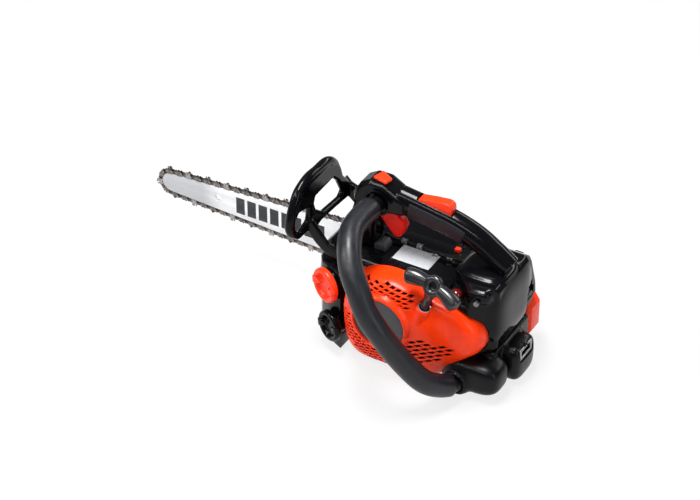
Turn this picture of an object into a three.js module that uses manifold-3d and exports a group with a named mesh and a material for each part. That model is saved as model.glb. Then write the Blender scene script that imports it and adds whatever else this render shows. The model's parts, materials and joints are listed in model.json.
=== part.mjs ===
import * as THREE from "three";
import { mergeVertices } from "three/addons/utils/BufferGeometryUtils.js";
import loadManifold from "manifold-3d";

// A small top-handle chainsaw. Millimetres, +X towards the tip of the bar, +Y to the
// operator's left, +Z up. The origin is on the ground, straight below the crank axis.

const library = await loadManifold();
library.setup();

// Sizes shared by the whole saw
const crankHeight = 61;
const clearance = 0.3;
const shellWall = 2.6;
const overrun = 8;
const bite = 1;
const fineEdge = 1;
const softEdge = 2;
const roundEdge = 4;
const wideEdge = 5;
const mergeTolerance = 0.0001;

// Crankcase
const caseRear = -61;
const caseFront = 39;
const caseRight = -36.8;
const caseLeft = 34;
const caseRise = 43;
const caseTop = crankHeight + caseRise;
const caseWall = 3;
const floorThickness = 6;
const floorFront = 86;
const chamberRadius = 28.5;
const webRadius = 24;
const webRunning = 1.2;
const shaftRadius = 6;
const webInner = 4;
const webThickness = 10;

// Cylinder, which lies forward and a little upward
const cylinderTilt = THREE.MathUtils.degToRad(10);
const boreRadius = 16;
const barrelRadius = 20;
const finRadius = 22.8;
const finCount = 4;
const finPitch = 11;
const finThickness = 3;
const cylinderFoot = 33;
const cylinderRoof = 78;
const cylinderTop = 86;

// Guide bar and chain
const barMiddle = -40;
const barTail = 27;
const barReach = 339;
const barLift = 5.6;
const barHeight = crankHeight + barLift;
const barHalfHeight = 23;
const barNoseRadius = 11.4;
const barThickness = 3.2;
const chainPitch = 12.7;
const chainWidth = 5.2;
const chainRivetLift = 3.6;
const strapHalf = 3.3;
const cutterRise = 6.6;
const gaugeRise = 5.2;
const sprocketPitchRadius = 17;
const studAhead = 64;
const studRadius = 3.9;

// Clutch and its cover
const drumRadius = 31;
const drumWall = 2;
const drumInner = -47;
const drumOuter = -62;
const coverRear = -44;
const coverFront = 98;
const coverLow = 10;
const coverRise = 41.7;
const coverHigh = crankHeight + coverRise;
const coverOuter = -80;

// Engine cover and front cover
const deckBottom = caseTop + clearance;
const deckThickness = 7.7;
const deckTop = deckBottom + deckThickness;
const deckFront = 74;
const deckHalfWidth = 36;
const frontDepth = 24.2;
const frontReach = deckFront + clearance + frontDepth;
const frontHigh = deckTop + softEdge;
const frontRight = -33.5;
const frontLeft = 23.7;

// Starter side
const starterRoot = 36;
const starterFace = 70;
const fanRadius = 42;
const fanRoom = 15;
const starterHeight = (fanRadius + fanRoom) * 2;
const frontRoom = 10;
const tailReach = 70;
const starterFront = fanRadius + frontRoom;
const starterTail = -fanRadius - tailReach;
const starterLength = starterFront - starterTail;
const starterBase = crankHeight - fanRadius - fanRoom;
const hubBack = 2.3;
const hubLift = 8;
const hubHeight = crankHeight + hubLift;
const hubRadius = 32.4;
const hubFace = 75;
const badgeRadius = 29.4;
const badgeThickness = 2;
const pulleyRadius = 24;

// Tanks
const tankGap = 1.5;
const tankRear = starterFront + tankGap;
const tankLength = 36.5;
const tankFront = tankRear + tankLength;
const tankInner = 24;
const tankDepth = 31.4;
const tankRearDepth = tankInner + tankDepth;
const tankFrontDepth = tankInner + tankDepth * 0.557;
const tankLow = 1;
const tankRise = 38;
const tankHigh = crankHeight + tankRise;
const tankDivide = crankHeight - wideEdge;
const tankNose = 7;
const fuelCapRadius = 19;
const oilCapRadius = 17.4;
const capThickness = 11;
const neckInset = 6;
const plugLength = 7;

// Handles
const gripRadius = 13.5;
const gripCoreRadius = 9;
const blockHalfWidth = 14;
const handleRise = 84;
const blockTop = deckTop + handleRise;
const frontTubeRadius = 12.5;
const frontTubeCore = 9;
const frontTubeBore = 7.4;

// Hand guard
const guardPivotX = 50;
const guardPivotDrop = 3;
const guardPivotZ = deckTop - guardPivotDrop;
const guardThickness = 7;
const guardPinRadius = 3.6;

// Rear end
const rearFace = -118;
const rearDrop = 13;
const rearLow = crankHeight - rearDrop;
const rearRise = 16.3;
const rearHigh = deckTop + rearRise;
const footHigh = rearLow - clearance;
const handleBaseBottom = rearHigh + clearance;

// Colours
const orange = 0xff4810;
const gloss = 0x141418;
const satin = 0x232226;
const rubber = 0x3a3a40;
const casting = 0x8a8c90;
const steel = 0xa8a9ac;
const bright = 0xc8c9cc;

function finish(colour, roughness, metalness) {
  return new THREE.MeshStandardMaterial({ color: colour, roughness, metalness });
}

// Closed solids from three.js geometries

function solidOf(geometry) {
  const plain = new THREE.BufferGeometry();
  plain.setAttribute("position", geometry.getAttribute("position").clone());
  if (geometry.index) {
    plain.setIndex(geometry.index.clone());
  }
  const merged = mergeVertices(plain, mergeTolerance);
  const source = merged.index.array;
  const corners = [];
  for (let at = 0; at < source.length; at += 3) {
    const [a, b, c] = [source[at], source[at + 1], source[at + 2]];
    if (a !== b && b !== c && c !== a) {
      corners.push(a, b, c);
    }
  }
  const vertProperties = new Float32Array(merged.getAttribute("position").array);
  const triVerts = new Uint32Array(corners);
  return new library.Manifold(new library.Mesh({ numProp: 3, vertProperties, triVerts }));
}

function geometryOf(solid) {
  const mesh = solid.getMesh();
  const indexed = new THREE.BufferGeometry();
  indexed.setAttribute("position", new THREE.BufferAttribute(mesh.vertProperties, 3));
  indexed.setIndex(new THREE.BufferAttribute(mesh.triVerts, 1));
  const flat = indexed.toNonIndexed();
  flat.computeVertexNormals();
  return flat;
}

function joined(...solids) {
  return solids.reduce((sum, solid) => sum.add(solid));
}

function cut(solid, ...tools) {
  return tools.reduce((rest, tool) => rest.subtract(tool), solid);
}

function block(fromX, toX, fromY, toY, fromZ, toZ) {
  const geometry = new THREE.BoxGeometry(toX - fromX, toY - fromY, toZ - fromZ);
  geometry.translate((fromX + toX) / 2, (fromY + toY) / 2, (fromZ + toZ) / 2);
  return solidOf(geometry);
}

// The radius that a round hole of some sides needs to clear a round bar
function roomRadius(radius, sides) {
  return (radius + clearance) / Math.cos(Math.PI / sides);
}

// A round bar from one point to another, which may taper
function rod(from, to, radius, sides, endRadius = radius) {
  const start = new THREE.Vector3(...from);
  const end = new THREE.Vector3(...to);
  const along = end.clone().sub(start);
  const geometry = new THREE.CylinderGeometry(endRadius, radius, along.length(), sides);
  const turn = new THREE.Quaternion();
  turn.setFromUnitVectors(new THREE.Vector3(0, 1, 0), along.clone().normalize());
  geometry.applyQuaternion(turn);
  const middle = start.add(end).multiplyScalar(0.5);
  geometry.translate(middle.x, middle.y, middle.z);
  return solidOf(geometry);
}

// A turned shape about an axis through the origin, from pairs of radius and place along it
function turned(profile, sides, axis = "y") {
  const points = profile.map(([radius, along]) => new THREE.Vector2(radius, along));
  const geometry = new THREE.LatheGeometry(points, sides);
  if (axis === "x") {
    geometry.rotateZ(-Math.PI / 2);
  }
  if (axis === "z") {
    geometry.rotateX(Math.PI / 2);
  }
  const solid = solidOf(geometry);
  if (solid.volume() > 0) {
    return solid;
  }
  geometry.index.array.reverse();
  return solidOf(geometry);
}

function ball(centre, radius, sides) {
  const geometry = new THREE.SphereGeometry(radius, sides, Math.round(sides / 2));
  geometry.translate(...centre);
  return solidOf(geometry);
}

// A flat outline raised between two planes, with its edges eased by the bevel
const planes = {
  xy: [new THREE.Vector3(1, 0, 0), new THREE.Vector3(0, 1, 0), new THREE.Vector3(0, 0, 1)],
  yz: [new THREE.Vector3(0, 1, 0), new THREE.Vector3(0, 0, 1), new THREE.Vector3(1, 0, 0)],
  xz: [new THREE.Vector3(1, 0, 0), new THREE.Vector3(0, 0, 1), new THREE.Vector3(0, -1, 0)],
};

function slab(plane, outline, from, to, bevel = 0, holes = [], bevelSteps = 1) {
  const corners = outline.map(([across, up]) => new THREE.Vector2(across, up));
  const shape = new THREE.Shape(corners);
  for (const hole of holes) {
    shape.holes.push(new THREE.Path(hole.map(([across, up]) => new THREE.Vector2(across, up))));
  }
  const geometry = new THREE.ExtrudeGeometry(shape, {
    depth: to - from - 2 * bevel,
    bevelEnabled: bevel > 0,
    bevelThickness: bevel,
    bevelSize: bevel,
    bevelOffset: -bevel,
    bevelSegments: bevelSteps,
    steps: 1,
  });
  const [first, second, third] = planes[plane];
  geometry.translate(0, 0, plane === "xz" ? bevel - to : from + bevel);
  geometry.applyMatrix4(new THREE.Matrix4().makeBasis(first, second, third));
  return solidOf(geometry);
}

// An outline of shares stretched over a box
function stretched(shares, left, low, width, height) {
  return shares.map(([across, up]) => [left + across * width, low + up * height]);
}

function arc(centreX, centreY, radius, fromAngle, toAngle, steps) {
  const points = [];
  for (let step = 0; step <= steps; step += 1) {
    const angle = fromAngle + ((toAngle - fromAngle) * step) / steps;
    points.push([centreX + radius * Math.cos(angle), centreY + radius * Math.sin(angle)]);
  }
  return points;
}

function circle(centreX, centreY, radius, sides) {
  return arc(centreX, centreY, radius, 0, (2 * Math.PI * (sides - 1)) / sides, sides - 1);
}

// An outline moved outwards by a distance (inwards when negative), counter-clockwise
function offset(outline, distance) {
  return outline.map((point, index) => {
    const before = outline[(index + outline.length - 1) % outline.length];
    const after = outline[(index + 1) % outline.length];
    const into = new THREE.Vector2(point[0] - before[0], point[1] - before[1]).normalize();
    const out = new THREE.Vector2(after[0] - point[0], after[1] - point[1]).normalize();
    const normal = new THREE.Vector2(into.y + out.y, -into.x - out.x).normalize();
    const stretch = 1 / Math.max(normal.x * into.y - normal.y * into.x, 0.5);
    return [point[0] + normal.x * distance * stretch, point[1] + normal.y * distance * stretch];
  });
}

// A tube along a smooth line through points, solid or with a bore
function tube(points, radius, sides, steps, bore = 0) {
  const places = points.map((point) => new THREE.Vector3(...point));
  const line = new THREE.CatmullRomCurve3(places, false, "centripetal");
  const rim = circle(0, 0, radius, sides).map((point) => new THREE.Vector2(...point));
  const shape = new THREE.Shape(rim);
  if (bore > 0) {
    const inside = circle(0, 0, bore, sides).map((point) => new THREE.Vector2(...point));
    shape.holes.push(new THREE.Path(inside));
  }
  const options = { steps, bevelEnabled: false, extrudePath: line };
  return solidOf(new THREE.ExtrudeGeometry(shape, options));
}

// A closed solid through a stack of loops with the same count of points
function loft(loops) {
  const count = loops[0].length;
  const positions = loops.flat(2);
  const faces = [];
  for (let level = 1; level < loops.length; level += 1) {
    for (let index = 0; index < count; index += 1) {
      const next = (index + 1) % count;
      const low = (level - 1) * count;
      const high = level * count;
      faces.push(low + index, low + next, high + next, low + index, high + next, high + index);
    }
  }
  const flatLoop = (loop) => loop.map(([x, , z]) => new THREE.Vector2(x, z));
  const last = (loops.length - 1) * count;
  for (const [a, b, c] of THREE.ShapeUtils.triangulateShape(flatLoop(loops[0]), [])) {
    faces.push(c, b, a);
  }
  for (const [a, b, c] of THREE.ShapeUtils.triangulateShape(flatLoop(loops[loops.length - 1]), [])) {
    faces.push(last + a, last + b, last + c);
  }
  const geometry = new THREE.BufferGeometry();
  geometry.setAttribute("position", new THREE.Float32BufferAttribute(positions, 3));
  geometry.setIndex(faces);
  const solid = solidOf(geometry);
  if (solid.volume() > 0) {
    return solid;
  }
  geometry.index.array.reverse();
  return solidOf(geometry);
}

// An outline with its long edges divided
function divided(outline, longest) {
  return outline.flatMap(([x, y], index) => {
    const [nextX, nextY] = outline[(index + 1) % outline.length];
    const parts = Math.ceil(Math.hypot(nextX - x, nextY - y) / longest);
    return Array.from({ length: parts }, (unused, step) => [
      x + ((nextX - x) * step) / parts,
      y + ((nextY - y) * step) / parts,
    ]);
  });
}

// Points of shares spread over a box between two corners
function spread(shares, low, high) {
  return shares.map((share) => share.map((part, axis) => low[axis] + part * (high[axis] - low[axis])));
}

// The scene graph

const saw = new THREE.Group();
const crankGroup = new THREE.Group();
crankGroup.position.set(0, 0, crankHeight);
saw.add(crankGroup);
const cylinderGroup = new THREE.Group();
cylinderGroup.rotation.set(0, -cylinderTilt, 0);
crankGroup.add(cylinderGroup);
const barGroup = new THREE.Group();
barGroup.position.set(0, barMiddle, barHeight);
saw.add(barGroup);

function place(parent, name, solid, material) {
  const mesh = new THREE.Mesh(geometryOf(solid), material);
  mesh.name = name;
  parent.add(mesh);
  return mesh;
}

// Crankcase: an open-topped box with the round crank chamber across it

const pedestalDepth = 20;
const padFront = 84;
const padRise = 1.3;
const padHalf = 15;

function crankcase() {
  const outer = block(caseRear, caseFront, caseRight, caseLeft, 0, caseTop);
  const inner = block(
    caseRear + caseWall,
    caseFront - caseWall,
    caseRight + caseWall,
    caseLeft - caseWall,
    floorThickness,
    caseTop + overrun,
  );
  const chamber = rod([0, caseRight, crankHeight], [0, caseLeft, crankHeight], chamberRadius, 24);
  const pedestal = block(
    0,
    cylinderFoot - clearance,
    -barrelRadius,
    barrelRadius,
    crankHeight - barrelRadius,
    crankHeight + barrelRadius,
  );
  const floorLeft = tankInner - clearance;
  const floor = block(caseFront - caseWall, floorFront, caseRight, floorLeft, 0, floorThickness);
  const sideWall = block(
    caseFront - caseWall,
    padFront,
    caseRight,
    caseRight + caseWall,
    0,
    crankHeight + pedestalDepth,
  );
  const pad = block(
    studAhead - pedestalDepth,
    studAhead + pedestalDepth,
    caseRight - padRise,
    caseRight + caseWall,
    barHeight - padHalf,
    barHeight + padHalf,
  );
  const webRoom = rod(
    [0, -webInner - webThickness - webRunning, crankHeight],
    [0, webInner + webThickness + webRunning, crankHeight],
    webRadius + webRunning,
    20,
  );
  const shaftHole = rod(
    [0, caseRight - overrun, crankHeight],
    [0, caseLeft + overrun, crankHeight],
    shaftRadius + clearance,
    20,
  );
  const along = [Math.cos(cylinderTilt), 0, Math.sin(cylinderTilt)];
  const start = [0, 0, crankHeight];
  const footEnd = along.map((part, axis) => start[axis] + part * (cylinderFoot - clearance));
  const farEnd = along.map((part, axis) => start[axis] + part * cylinderTop);
  const mouth = rod(start, farEnd, boreRadius, 24);
  const cylinderRoom = rod(footEnd, farEnd, roomRadius(finRadius, 14), 14);
  const portRoom = block(
    0,
    caseFront + overrun,
    -intakeHalf - clearance,
    intakeHalf + clearance,
    crankHeight + chamberRadius - shellWall,
    caseTop + overrun,
  );
  const studHole = rod(
    [studAhead, caseRight - overrun, barHeight],
    [studAhead, caseRight + overrun, barHeight],
    studRadius + clearance,
    16,
  );
  const body = joined(cut(outer, inner), chamber, pedestal, floor, sideWall, pad);
  return cut(body, webRoom, shaftHole, mouth, cylinderRoom, portRoom, studHole);
}

// Crank: two halves of a built-up crankshaft, the piston, its rod and the flywheel

const flywheelInner = 37.5;
const flywheelRim = 44;
const bladeEnd = 53;
const bladeCount = 8;
const bladeThickness = 2.4;
const flywheelHub = 13;
const flywheelRadius = fanRadius;
const throwRadius = 13;
const rodLength = 42;
const rodWidth = 6.4;
const pinRadius = 5;

function crankHalf(side) {
  const inner = side * webInner;
  const outer = side * (webInner + webThickness);
  const end = side > 0 ? bladeEnd - clearance : drumOuter;
  return joined(
    rod([0, inner, 0], [0, outer, 0], webRadius, 20),
    rod([0, outer - side * bite, 0], [0, end, 0], shaftRadius, 12),
  );
}

function flywheel() {
  const disc = rod([0, flywheelInner, 0], [0, flywheelRim, 0], flywheelRadius, 24);
  const hub = rod([0, flywheelRim - bite, 0], [0, bladeEnd, 0], flywheelHub, 20);
  const bladeStart = flywheelHub - bladeThickness;
  const bladeLength = flywheelRadius - bladeThickness - bladeStart;
  const bladeFoot = flywheelRim - bite;
  let wheel = joined(disc, hub);
  for (let index = 0; index < bladeCount; index += 1) {
    const angle = (index * 2 * Math.PI) / bladeCount;
    const blade = new THREE.BoxGeometry(bladeLength, bladeEnd - bladeFoot, bladeThickness);
    blade.translate(bladeStart + bladeLength / 2, (bladeEnd + bladeFoot) / 2, 0);
    blade.rotateY(angle);
    wheel = wheel.add(solidOf(blade));
  }
  const from = [0, flywheelInner - overrun, 0];
  const to = [0, bladeEnd + overrun, 0];
  return cut(wheel, rod(from, to, shaftRadius + clearance, 16));
}

function piston() {
  const foot = throwRadius + rodLength - pinRadius * 2;
  const top = cylinderRoof - clearance * 4;
  const body = rod([foot, 0, 0], [top, 0, 0], boreRadius - clearance, 14);
  const high = pinRadius * 2;
  const room = block(foot - overrun, foot + pinRadius * 4, -rodWidth, rodWidth, -high, high);
  return cut(body, room);
}

function connectingRod() {
  const big = rod([throwRadius, -rodWidth / 2, 0], [throwRadius, rodWidth / 2, 0], pinRadius * 1.6, 20);
  const far = throwRadius + rodLength;
  const small = rod([far, -rodWidth / 2, 0], [far, rodWidth / 2, 0], pinRadius * 1.3, 16);
  const shank = block(throwRadius, far, -rodWidth / 2, rodWidth / 2, -pinRadius * 0.7, pinRadius * 0.7);
  return joined(big, small, shank);
}

// Cylinder with its cooling fins, its axis along X in its own group
const intakeHalf = 9;
const intakeFront = 44;
const intakeRear = 29;
const intakeHigh = 42;

function cylinder() {
  const profile = [
    [0, cylinderRoof],
    [roomRadius(boreRadius, 14), cylinderRoof],
    [roomRadius(boreRadius, 14), cylinderFoot],
    [barrelRadius, cylinderFoot],
  ];
  for (let index = 0; index < finCount; index += 1) {
    const foot = cylinderFoot + finThickness + index * finPitch;
    profile.push([barrelRadius, foot], [finRadius, foot]);
    profile.push([finRadius, foot + finThickness], [barrelRadius, foot + finThickness]);
  }
  profile.push([barrelRadius, cylinderTop], [0, cylinderTop]);
  const barrel = turned(profile, 14, "x");
  const port = block(
    intakeRear,
    intakeFront,
    -intakeHalf,
    intakeHalf,
    barrelRadius - bite,
    intakeHigh - intakeHalf,
  );
  const portCut = block(
    intakeRear - overrun,
    cylinderFoot + clearance,
    -finRadius,
    finRadius,
    0,
    barrelRadius,
  );
  return barrel.add(cut(port, portCut));
}

const plugRadius = 5;
const plugReach = 93;

function sparkPlug() {
  const nutEnd = cylinderTop + plugRadius;
  return joined(
    rod([cylinderTop + clearance, 0, 0], [nutEnd, 0, 0], plugRadius * 1.5, 6),
    rod([nutEnd - bite, 0, 0], [plugReach, 0, 0], plugRadius, 12),
  );
}

// Muffler in front, under the cylinder
const mufflerRear = 42;
const mufflerFront = 91;
const mufflerLow = 13.6;
const mufflerDrop = 19.5;
const mufflerHigh = crankHeight - mufflerDrop;
const mufflerInset = 3;

function muffler() {
  const outline = [
    [mufflerRear, mufflerLow],
    [floorFront - mufflerInset, mufflerLow],
    [mufflerFront - mufflerInset, mufflerLow + mufflerInset * 2],
    [mufflerFront, mufflerHigh - mufflerInset],
    [mufflerFront - mufflerInset, mufflerHigh],
    [mufflerRear, mufflerHigh],
  ];
  const right = frontRight + shellWall + mufflerInset;
  const left = frontLeft - shellWall - mufflerInset;
  const body = slab("xz", outline, right, left, softEdge);
  const seat = block(
    mufflerRear + mufflerInset,
    deckFront - mufflerInset,
    -intakeHalf,
    intakeHalf,
    floorThickness + clearance,
    mufflerLow + mufflerInset,
  );
  return joined(body, seat);
}

// Intake: boot, carburettor and air filter
const bootRadius = 6.4;
const bootHeight = caseTop - bootRadius - clearance * 2;
const carbRear = -57.5;
const carbFront = -34;
const carbHalf = 15;
const carbHeight = 26;
const carbLow = caseTop - carbHeight;

function intakeBoot() {
  const from = [carbFront + clearance, 0, bootHeight];
  const body = rod(from, [intakeRear - overrun, 0, bootHeight], bootRadius, 16);
  const flange = rod(
    [carbFront + clearance, 0, bootHeight - clearance],
    [carbFront + clearance + caseWall, 0, bootHeight - clearance],
    bootRadius + clearance,
    16,
  );
  return joined(body, flange);
}

function carburettor() {
  const body = block(carbRear, carbFront, -carbHalf, carbHalf, carbLow, caseTop - caseWall);
  const bowl = rod(
    [(carbRear + carbFront) / 2, 0, carbLow - caseWall * 2],
    [(carbRear + carbFront) / 2, 0, carbLow + bite],
    carbHalf * 0.7,
    16,
  );
  return joined(body, bowl);
}

const filterRear = -100;
const filterHalf = 26;
const filterLow = crankHeight - bite;
const filterHigh = caseTop;

function airFilter() {
  const outline = [
    [-filterHalf, filterLow],
    [filterHalf, filterLow],
    [filterHalf, filterHigh],
    [-filterHalf, filterHigh],
  ];
  return slab("yz", outline, filterRear, caseRear - clearance, wideEdge);
}

// Guide bar: its outline, its stud slot and the two small holes
const barShares = [
  [0, 0.5],
  [0.025, 0.77],
  [0.07, 0.94],
  [0.14, 1],
  [0.25, 0.98],
  [0.47, 0.84],
  [0.67, 0.69],
  [0.94, 0.52],
];
const slotLength = 34;
const slotHalf = 4.3;
const tipHoleX = 265;
const tipHoleLift = 0.8;
const tipHoleRadius = 4;

function barOutline(grow) {
  const length = barReach - barTail;
  const noseX = barReach - barNoseRadius;
  const noseTurn = Math.PI * 0.46;
  const upper = barShares.map(([along, up]) => [barTail + along * length, up * barHalfHeight]);
  const lower = upper.map(([along, up]) => [along, -up]);
  const nose = arc(noseX, 0, barNoseRadius, -noseTurn, noseTurn, 10);
  return offset([...lower, ...nose, ...upper.reverse()], grow);
}

function guideBar() {
  const slot = [
    ...arc(studAhead - slotLength / 2, 0, slotHalf, Math.PI / 2, Math.PI * 1.5, 6),
    ...arc(studAhead + slotLength / 2 - slotHalf * 2, 0, slotHalf, -Math.PI / 2, Math.PI / 2, 6),
  ];
  const hole = circle(tipHoleX, tipHoleLift, tipHoleRadius, 16);
  return slab("xz", barOutline(0), -barThickness / 2, barThickness / 2, 0, [slot, hole]);
}

// Chain: one closed loop round the bar and the sprocket, with a raised cutter every second link

function chainLine() {
  const around = barOutline(chainRivetLift).filter(([along]) => along > studAhead - slotLength / 2);
  const [lowerX, lowerZ] = around[0];
  const [upperX, upperZ] = around[around.length - 1];
  const sprocketZ = crankHeight - barHeight;
  const upperLead = Math.atan2(upperZ - sprocketZ - sprocketPitchRadius, upperX);
  const lowerLead = Math.atan2(sprocketZ - lowerZ - sprocketPitchRadius, lowerX);
  const from = Math.PI / 2 + upperLead;
  const to = Math.PI * 1.5 - lowerLead;
  return [...around, ...arc(0, sprocketZ, sprocketPitchRadius, from, to, 12)];
}

function chainStations() {
  const line = chainLine();
  const closed = [...line, line[0]];
  const lengths = [0];
  for (let index = 1; index < closed.length; index += 1) {
    const stepX = closed[index][0] - closed[index - 1][0];
    const stepZ = closed[index][1] - closed[index - 1][1];
    lengths.push(lengths[index - 1] + Math.hypot(stepX, stepZ));
  }
  const total = lengths[lengths.length - 1];
  const pairs = Math.round(total / (2 * chainPitch));
  const count = pairs * 4;
  const stations = [];
  let segment = 1;
  for (let index = 0; index < count; index += 1) {
    const target = (total * index) / count;
    while (lengths[segment] < target) {
      segment += 1;
    }
    const share = (target - lengths[segment - 1]) / (lengths[segment] - lengths[segment - 1]);
    const [fromX, fromZ] = closed[segment - 1];
    const [toX, toZ] = closed[segment];
    stations.push([fromX + (toX - fromX) * share, fromZ + (toZ - fromZ) * share]);
  }
  return stations;
}

function sawChain() {
  const stations = chainStations();
  const rises = [strapHalf, gaugeRise, strapHalf, cutterRise];
  const outer = stations.map((point, index) => {
    const before = stations[(index + stations.length - 1) % stations.length];
    const after = stations[(index + 1) % stations.length];
    const along = new THREE.Vector2(after[0] - before[0], after[1] - before[1]).normalize();
    const rise = rises[index % rises.length];
    return [point[0] + along.y * rise, point[1] - along.x * rise];
  });
  const band = slab("xz", outer, -chainWidth / 2, chainWidth / 2);
  const barRoom = slab("xz", barOutline(clearance), -chainWidth, chainWidth);
  const sprocketZ = crankHeight - barHeight;
  const inner = sprocketPitchRadius - strapHalf;
  const drumRoom = rod([0, -chainWidth, sprocketZ], [0, chainWidth, sprocketZ], inner, 28);
  const throat = [
    [0, sprocketZ + inner],
    [0, sprocketZ - inner],
    [studAhead - slotLength / 2, -barHalfHeight * 0.9],
    [studAhead - slotLength / 2, barHalfHeight * 0.9],
  ];
  return cut(band, barRoom, drumRoom, slab("xz", throat, -chainWidth, chainWidth));
}

// Stud, nut and the chain catcher
const nutRadius = 8;
const nutHeight = 6;
const nutFlange = 1.6;
const studProud = 2;

function barStud() {
  const headInner = caseRight + caseWall + clearance;
  const headOuter = headInner + nutHeight;
  const end = coverOuter - nutHeight - studProud;
  const shaft = rod([studAhead, headOuter, barHeight], [studAhead, end, barHeight], studRadius, 16);
  const head = rod(
    [studAhead, headOuter, barHeight],
    [studAhead, headInner, barHeight],
    studRadius * 1.8,
    16,
  );
  return joined(shaft, head);
}

function barNut() {
  const inner = coverOuter - clearance;
  const outer = inner - nutHeight;
  const seat = [studAhead, inner, barHeight];
  const body = rod(seat, [studAhead, outer, barHeight], nutRadius, 6);
  const flange = rod(seat, [studAhead, inner - nutFlange, barHeight], nutRadius * 1.25, 20);
  const hole = rod(
    [studAhead, inner + overrun, barHeight],
    [studAhead, outer - overrun, barHeight],
    studRadius + clearance,
    16,
  );
  return cut(joined(body, flange), hole);
}

const catcherFront = 86;
const catcherLength = 12;
const catcherHigh = 22;
const catcherDepth = 9;

function chainCatcher() {
  return block(
    catcherFront - catcherLength,
    catcherFront,
    caseRight - catcherDepth,
    caseRight - clearance,
    coverLow + shellWall + clearance,
    catcherHigh,
  );
}

// Clutch: the drum carries the sprocket, the shoes turn with the crank
const sprocketRadius = 13.2;
const sprocketInner = -37.4;
const sprocketTeeth = 8;
const shoeCount = 3;

function clutchDrum() {
  const cup = [
    [shaftRadius + clearance, sprocketInner],
    [sprocketRadius, sprocketInner],
    [sprocketRadius, drumInner],
    [drumRadius, drumInner],
    [drumRadius, drumOuter],
    [drumRadius - drumWall, drumOuter],
    [drumRadius - drumWall, drumInner - drumWall],
    [shaftRadius + clearance, drumInner - drumWall],
    [shaftRadius + clearance, sprocketInner],
  ];
  let drum = turned(cup, 24);
  for (let index = 0; index < sprocketTeeth; index += 1) {
    const angle = (index * 2 * Math.PI) / sprocketTeeth;
    const x = Math.cos(angle) * sprocketRadius;
    const z = Math.sin(angle) * sprocketRadius;
    const notch = rod([x, sprocketInner + overrun, z], [x, drumInner + clearance, z], studRadius * 0.5, 8);
    drum = cut(drum, notch);
  }
  return drum;
}

function clutchShoes() {
  const inner = drumInner - drumWall - clearance * 2;
  const radius = drumRadius - drumWall - clearance * 3;
  let shoes = rod([0, inner, 0], [0, drumOuter, 0], radius, 24);
  for (let index = 0; index < shoeCount; index += 1) {
    const angle = (index * 2 * Math.PI) / shoeCount;
    const slot = new THREE.BoxGeometry(radius, Math.abs(drumOuter - drumInner) * 2, studRadius);
    slot.translate(radius * 0.9, (drumOuter + drumInner) / 2, 0);
    slot.rotateY(angle);
    shoes = cut(shoes, solidOf(slot));
  }
  return cut(shoes, rod([0, inner + overrun, 0], [0, drumOuter - overrun, 0], shaftRadius + clearance, 16));
}

const bandThickness = 1;
const bandGap = 0.6;

function brakeBand() {
  const inner = drumRadius + bandGap;
  const outer = inner + bandThickness;
  const from = drumInner - drumWall;
  const to = drumOuter + drumWall;
  const ring = [
    [inner, from],
    [outer, from],
    [outer, to],
    [inner, to],
    [inner, from],
  ];
  const reach = outer + overrun;
  const opening = block(0, reach, to - overrun, from + overrun, -sprocketRadius, sprocketRadius);
  const lugTop = coverHigh - crankHeight - shellWall - clearance;
  const lug = block(-drumWall, drumWall, to, from, inner + bandThickness / 2, lugTop);
  return joined(cut(turned(ring, 24), opening), lug);
}

// Clutch cover: a tray over the clutch, open at the front where the bar leaves it

function clutchCover() {
  const outline = [
    [coverRear + overrun, coverLow],
    [coverFront - overrun, coverLow],
    [coverFront, coverLow + overrun],
    [coverFront, coverHigh - overrun],
    [coverFront - overrun, coverHigh],
    [coverRear + overrun * 2, coverHigh],
    [coverRear, coverHigh - overrun * 2],
    [coverRear, coverLow + overrun],
  ];
  const rim = caseRight - clearance;
  const tray = cut(
    slab("xz", outline, coverOuter, rim + overrun, wideEdge),
    block(coverRear - overrun, coverFront + overrun, rim, rim + overrun * 2, 0, coverHigh + overrun),
  );
  const inside = offset(outline, -shellWall);
  const hollow = slab("xz", inside, coverOuter + shellWall, rim + overrun * 2, roundEdge);
  const mouth = block(
    coverFront - overrun * 2,
    coverFront + overrun,
    coverOuter + overrun * 2,
    rim + overrun,
    coverLow + shellWall * 3,
    coverHigh - shellWall * 1.2,
  );
  const post = rod(
    [studAhead, coverOuter + bite, barHeight],
    [studAhead, barMiddle - barThickness / 2 - clearance, barHeight],
    nutRadius * 1.3,
    20,
  );
  const hole = rod(
    [studAhead, coverOuter - overrun, barHeight],
    [studAhead, rim, barHeight],
    studRadius + clearance,
    16,
  );
  return cut(joined(cut(tray, hollow, mouth), post), hole);
}

// Orange housing behind the clutch cover
const sideRight = -75;
const sideInner = -46.4;
const sideLow = 8;
const sideHigh = crankHeight + bite;

function sideHousing() {
  const outline = [
    [rearFace + overrun, sideLow],
    [coverRear - clearance, sideLow],
    [coverRear - clearance, sideHigh],
    [rearFace + overrun, sideHigh],
    [rearFace, sideHigh - overrun * 1.5],
    [rearFace, sideLow + overrun * 1.5],
  ];
  const main = slab("xz", outline, sideRight, sideInner, wideEdge);
  const shoulder = block(
    caseRear - clearance,
    coverRear - clearance * 2,
    sideInner - overrun,
    caseRight - clearance,
    sideLow + overrun,
    sideHigh - overrun,
  );
  return joined(main, shoulder);
}

// Engine cover: the flat deck with a shallow seat for the plain label plate
const labelRear = -29;
const labelFront = 14;
const labelRight = -14;
const labelLeft = 17;
const labelThickness = 0.6;
const deckEdge = 2.5;
const lipDepth = 2;

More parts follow.
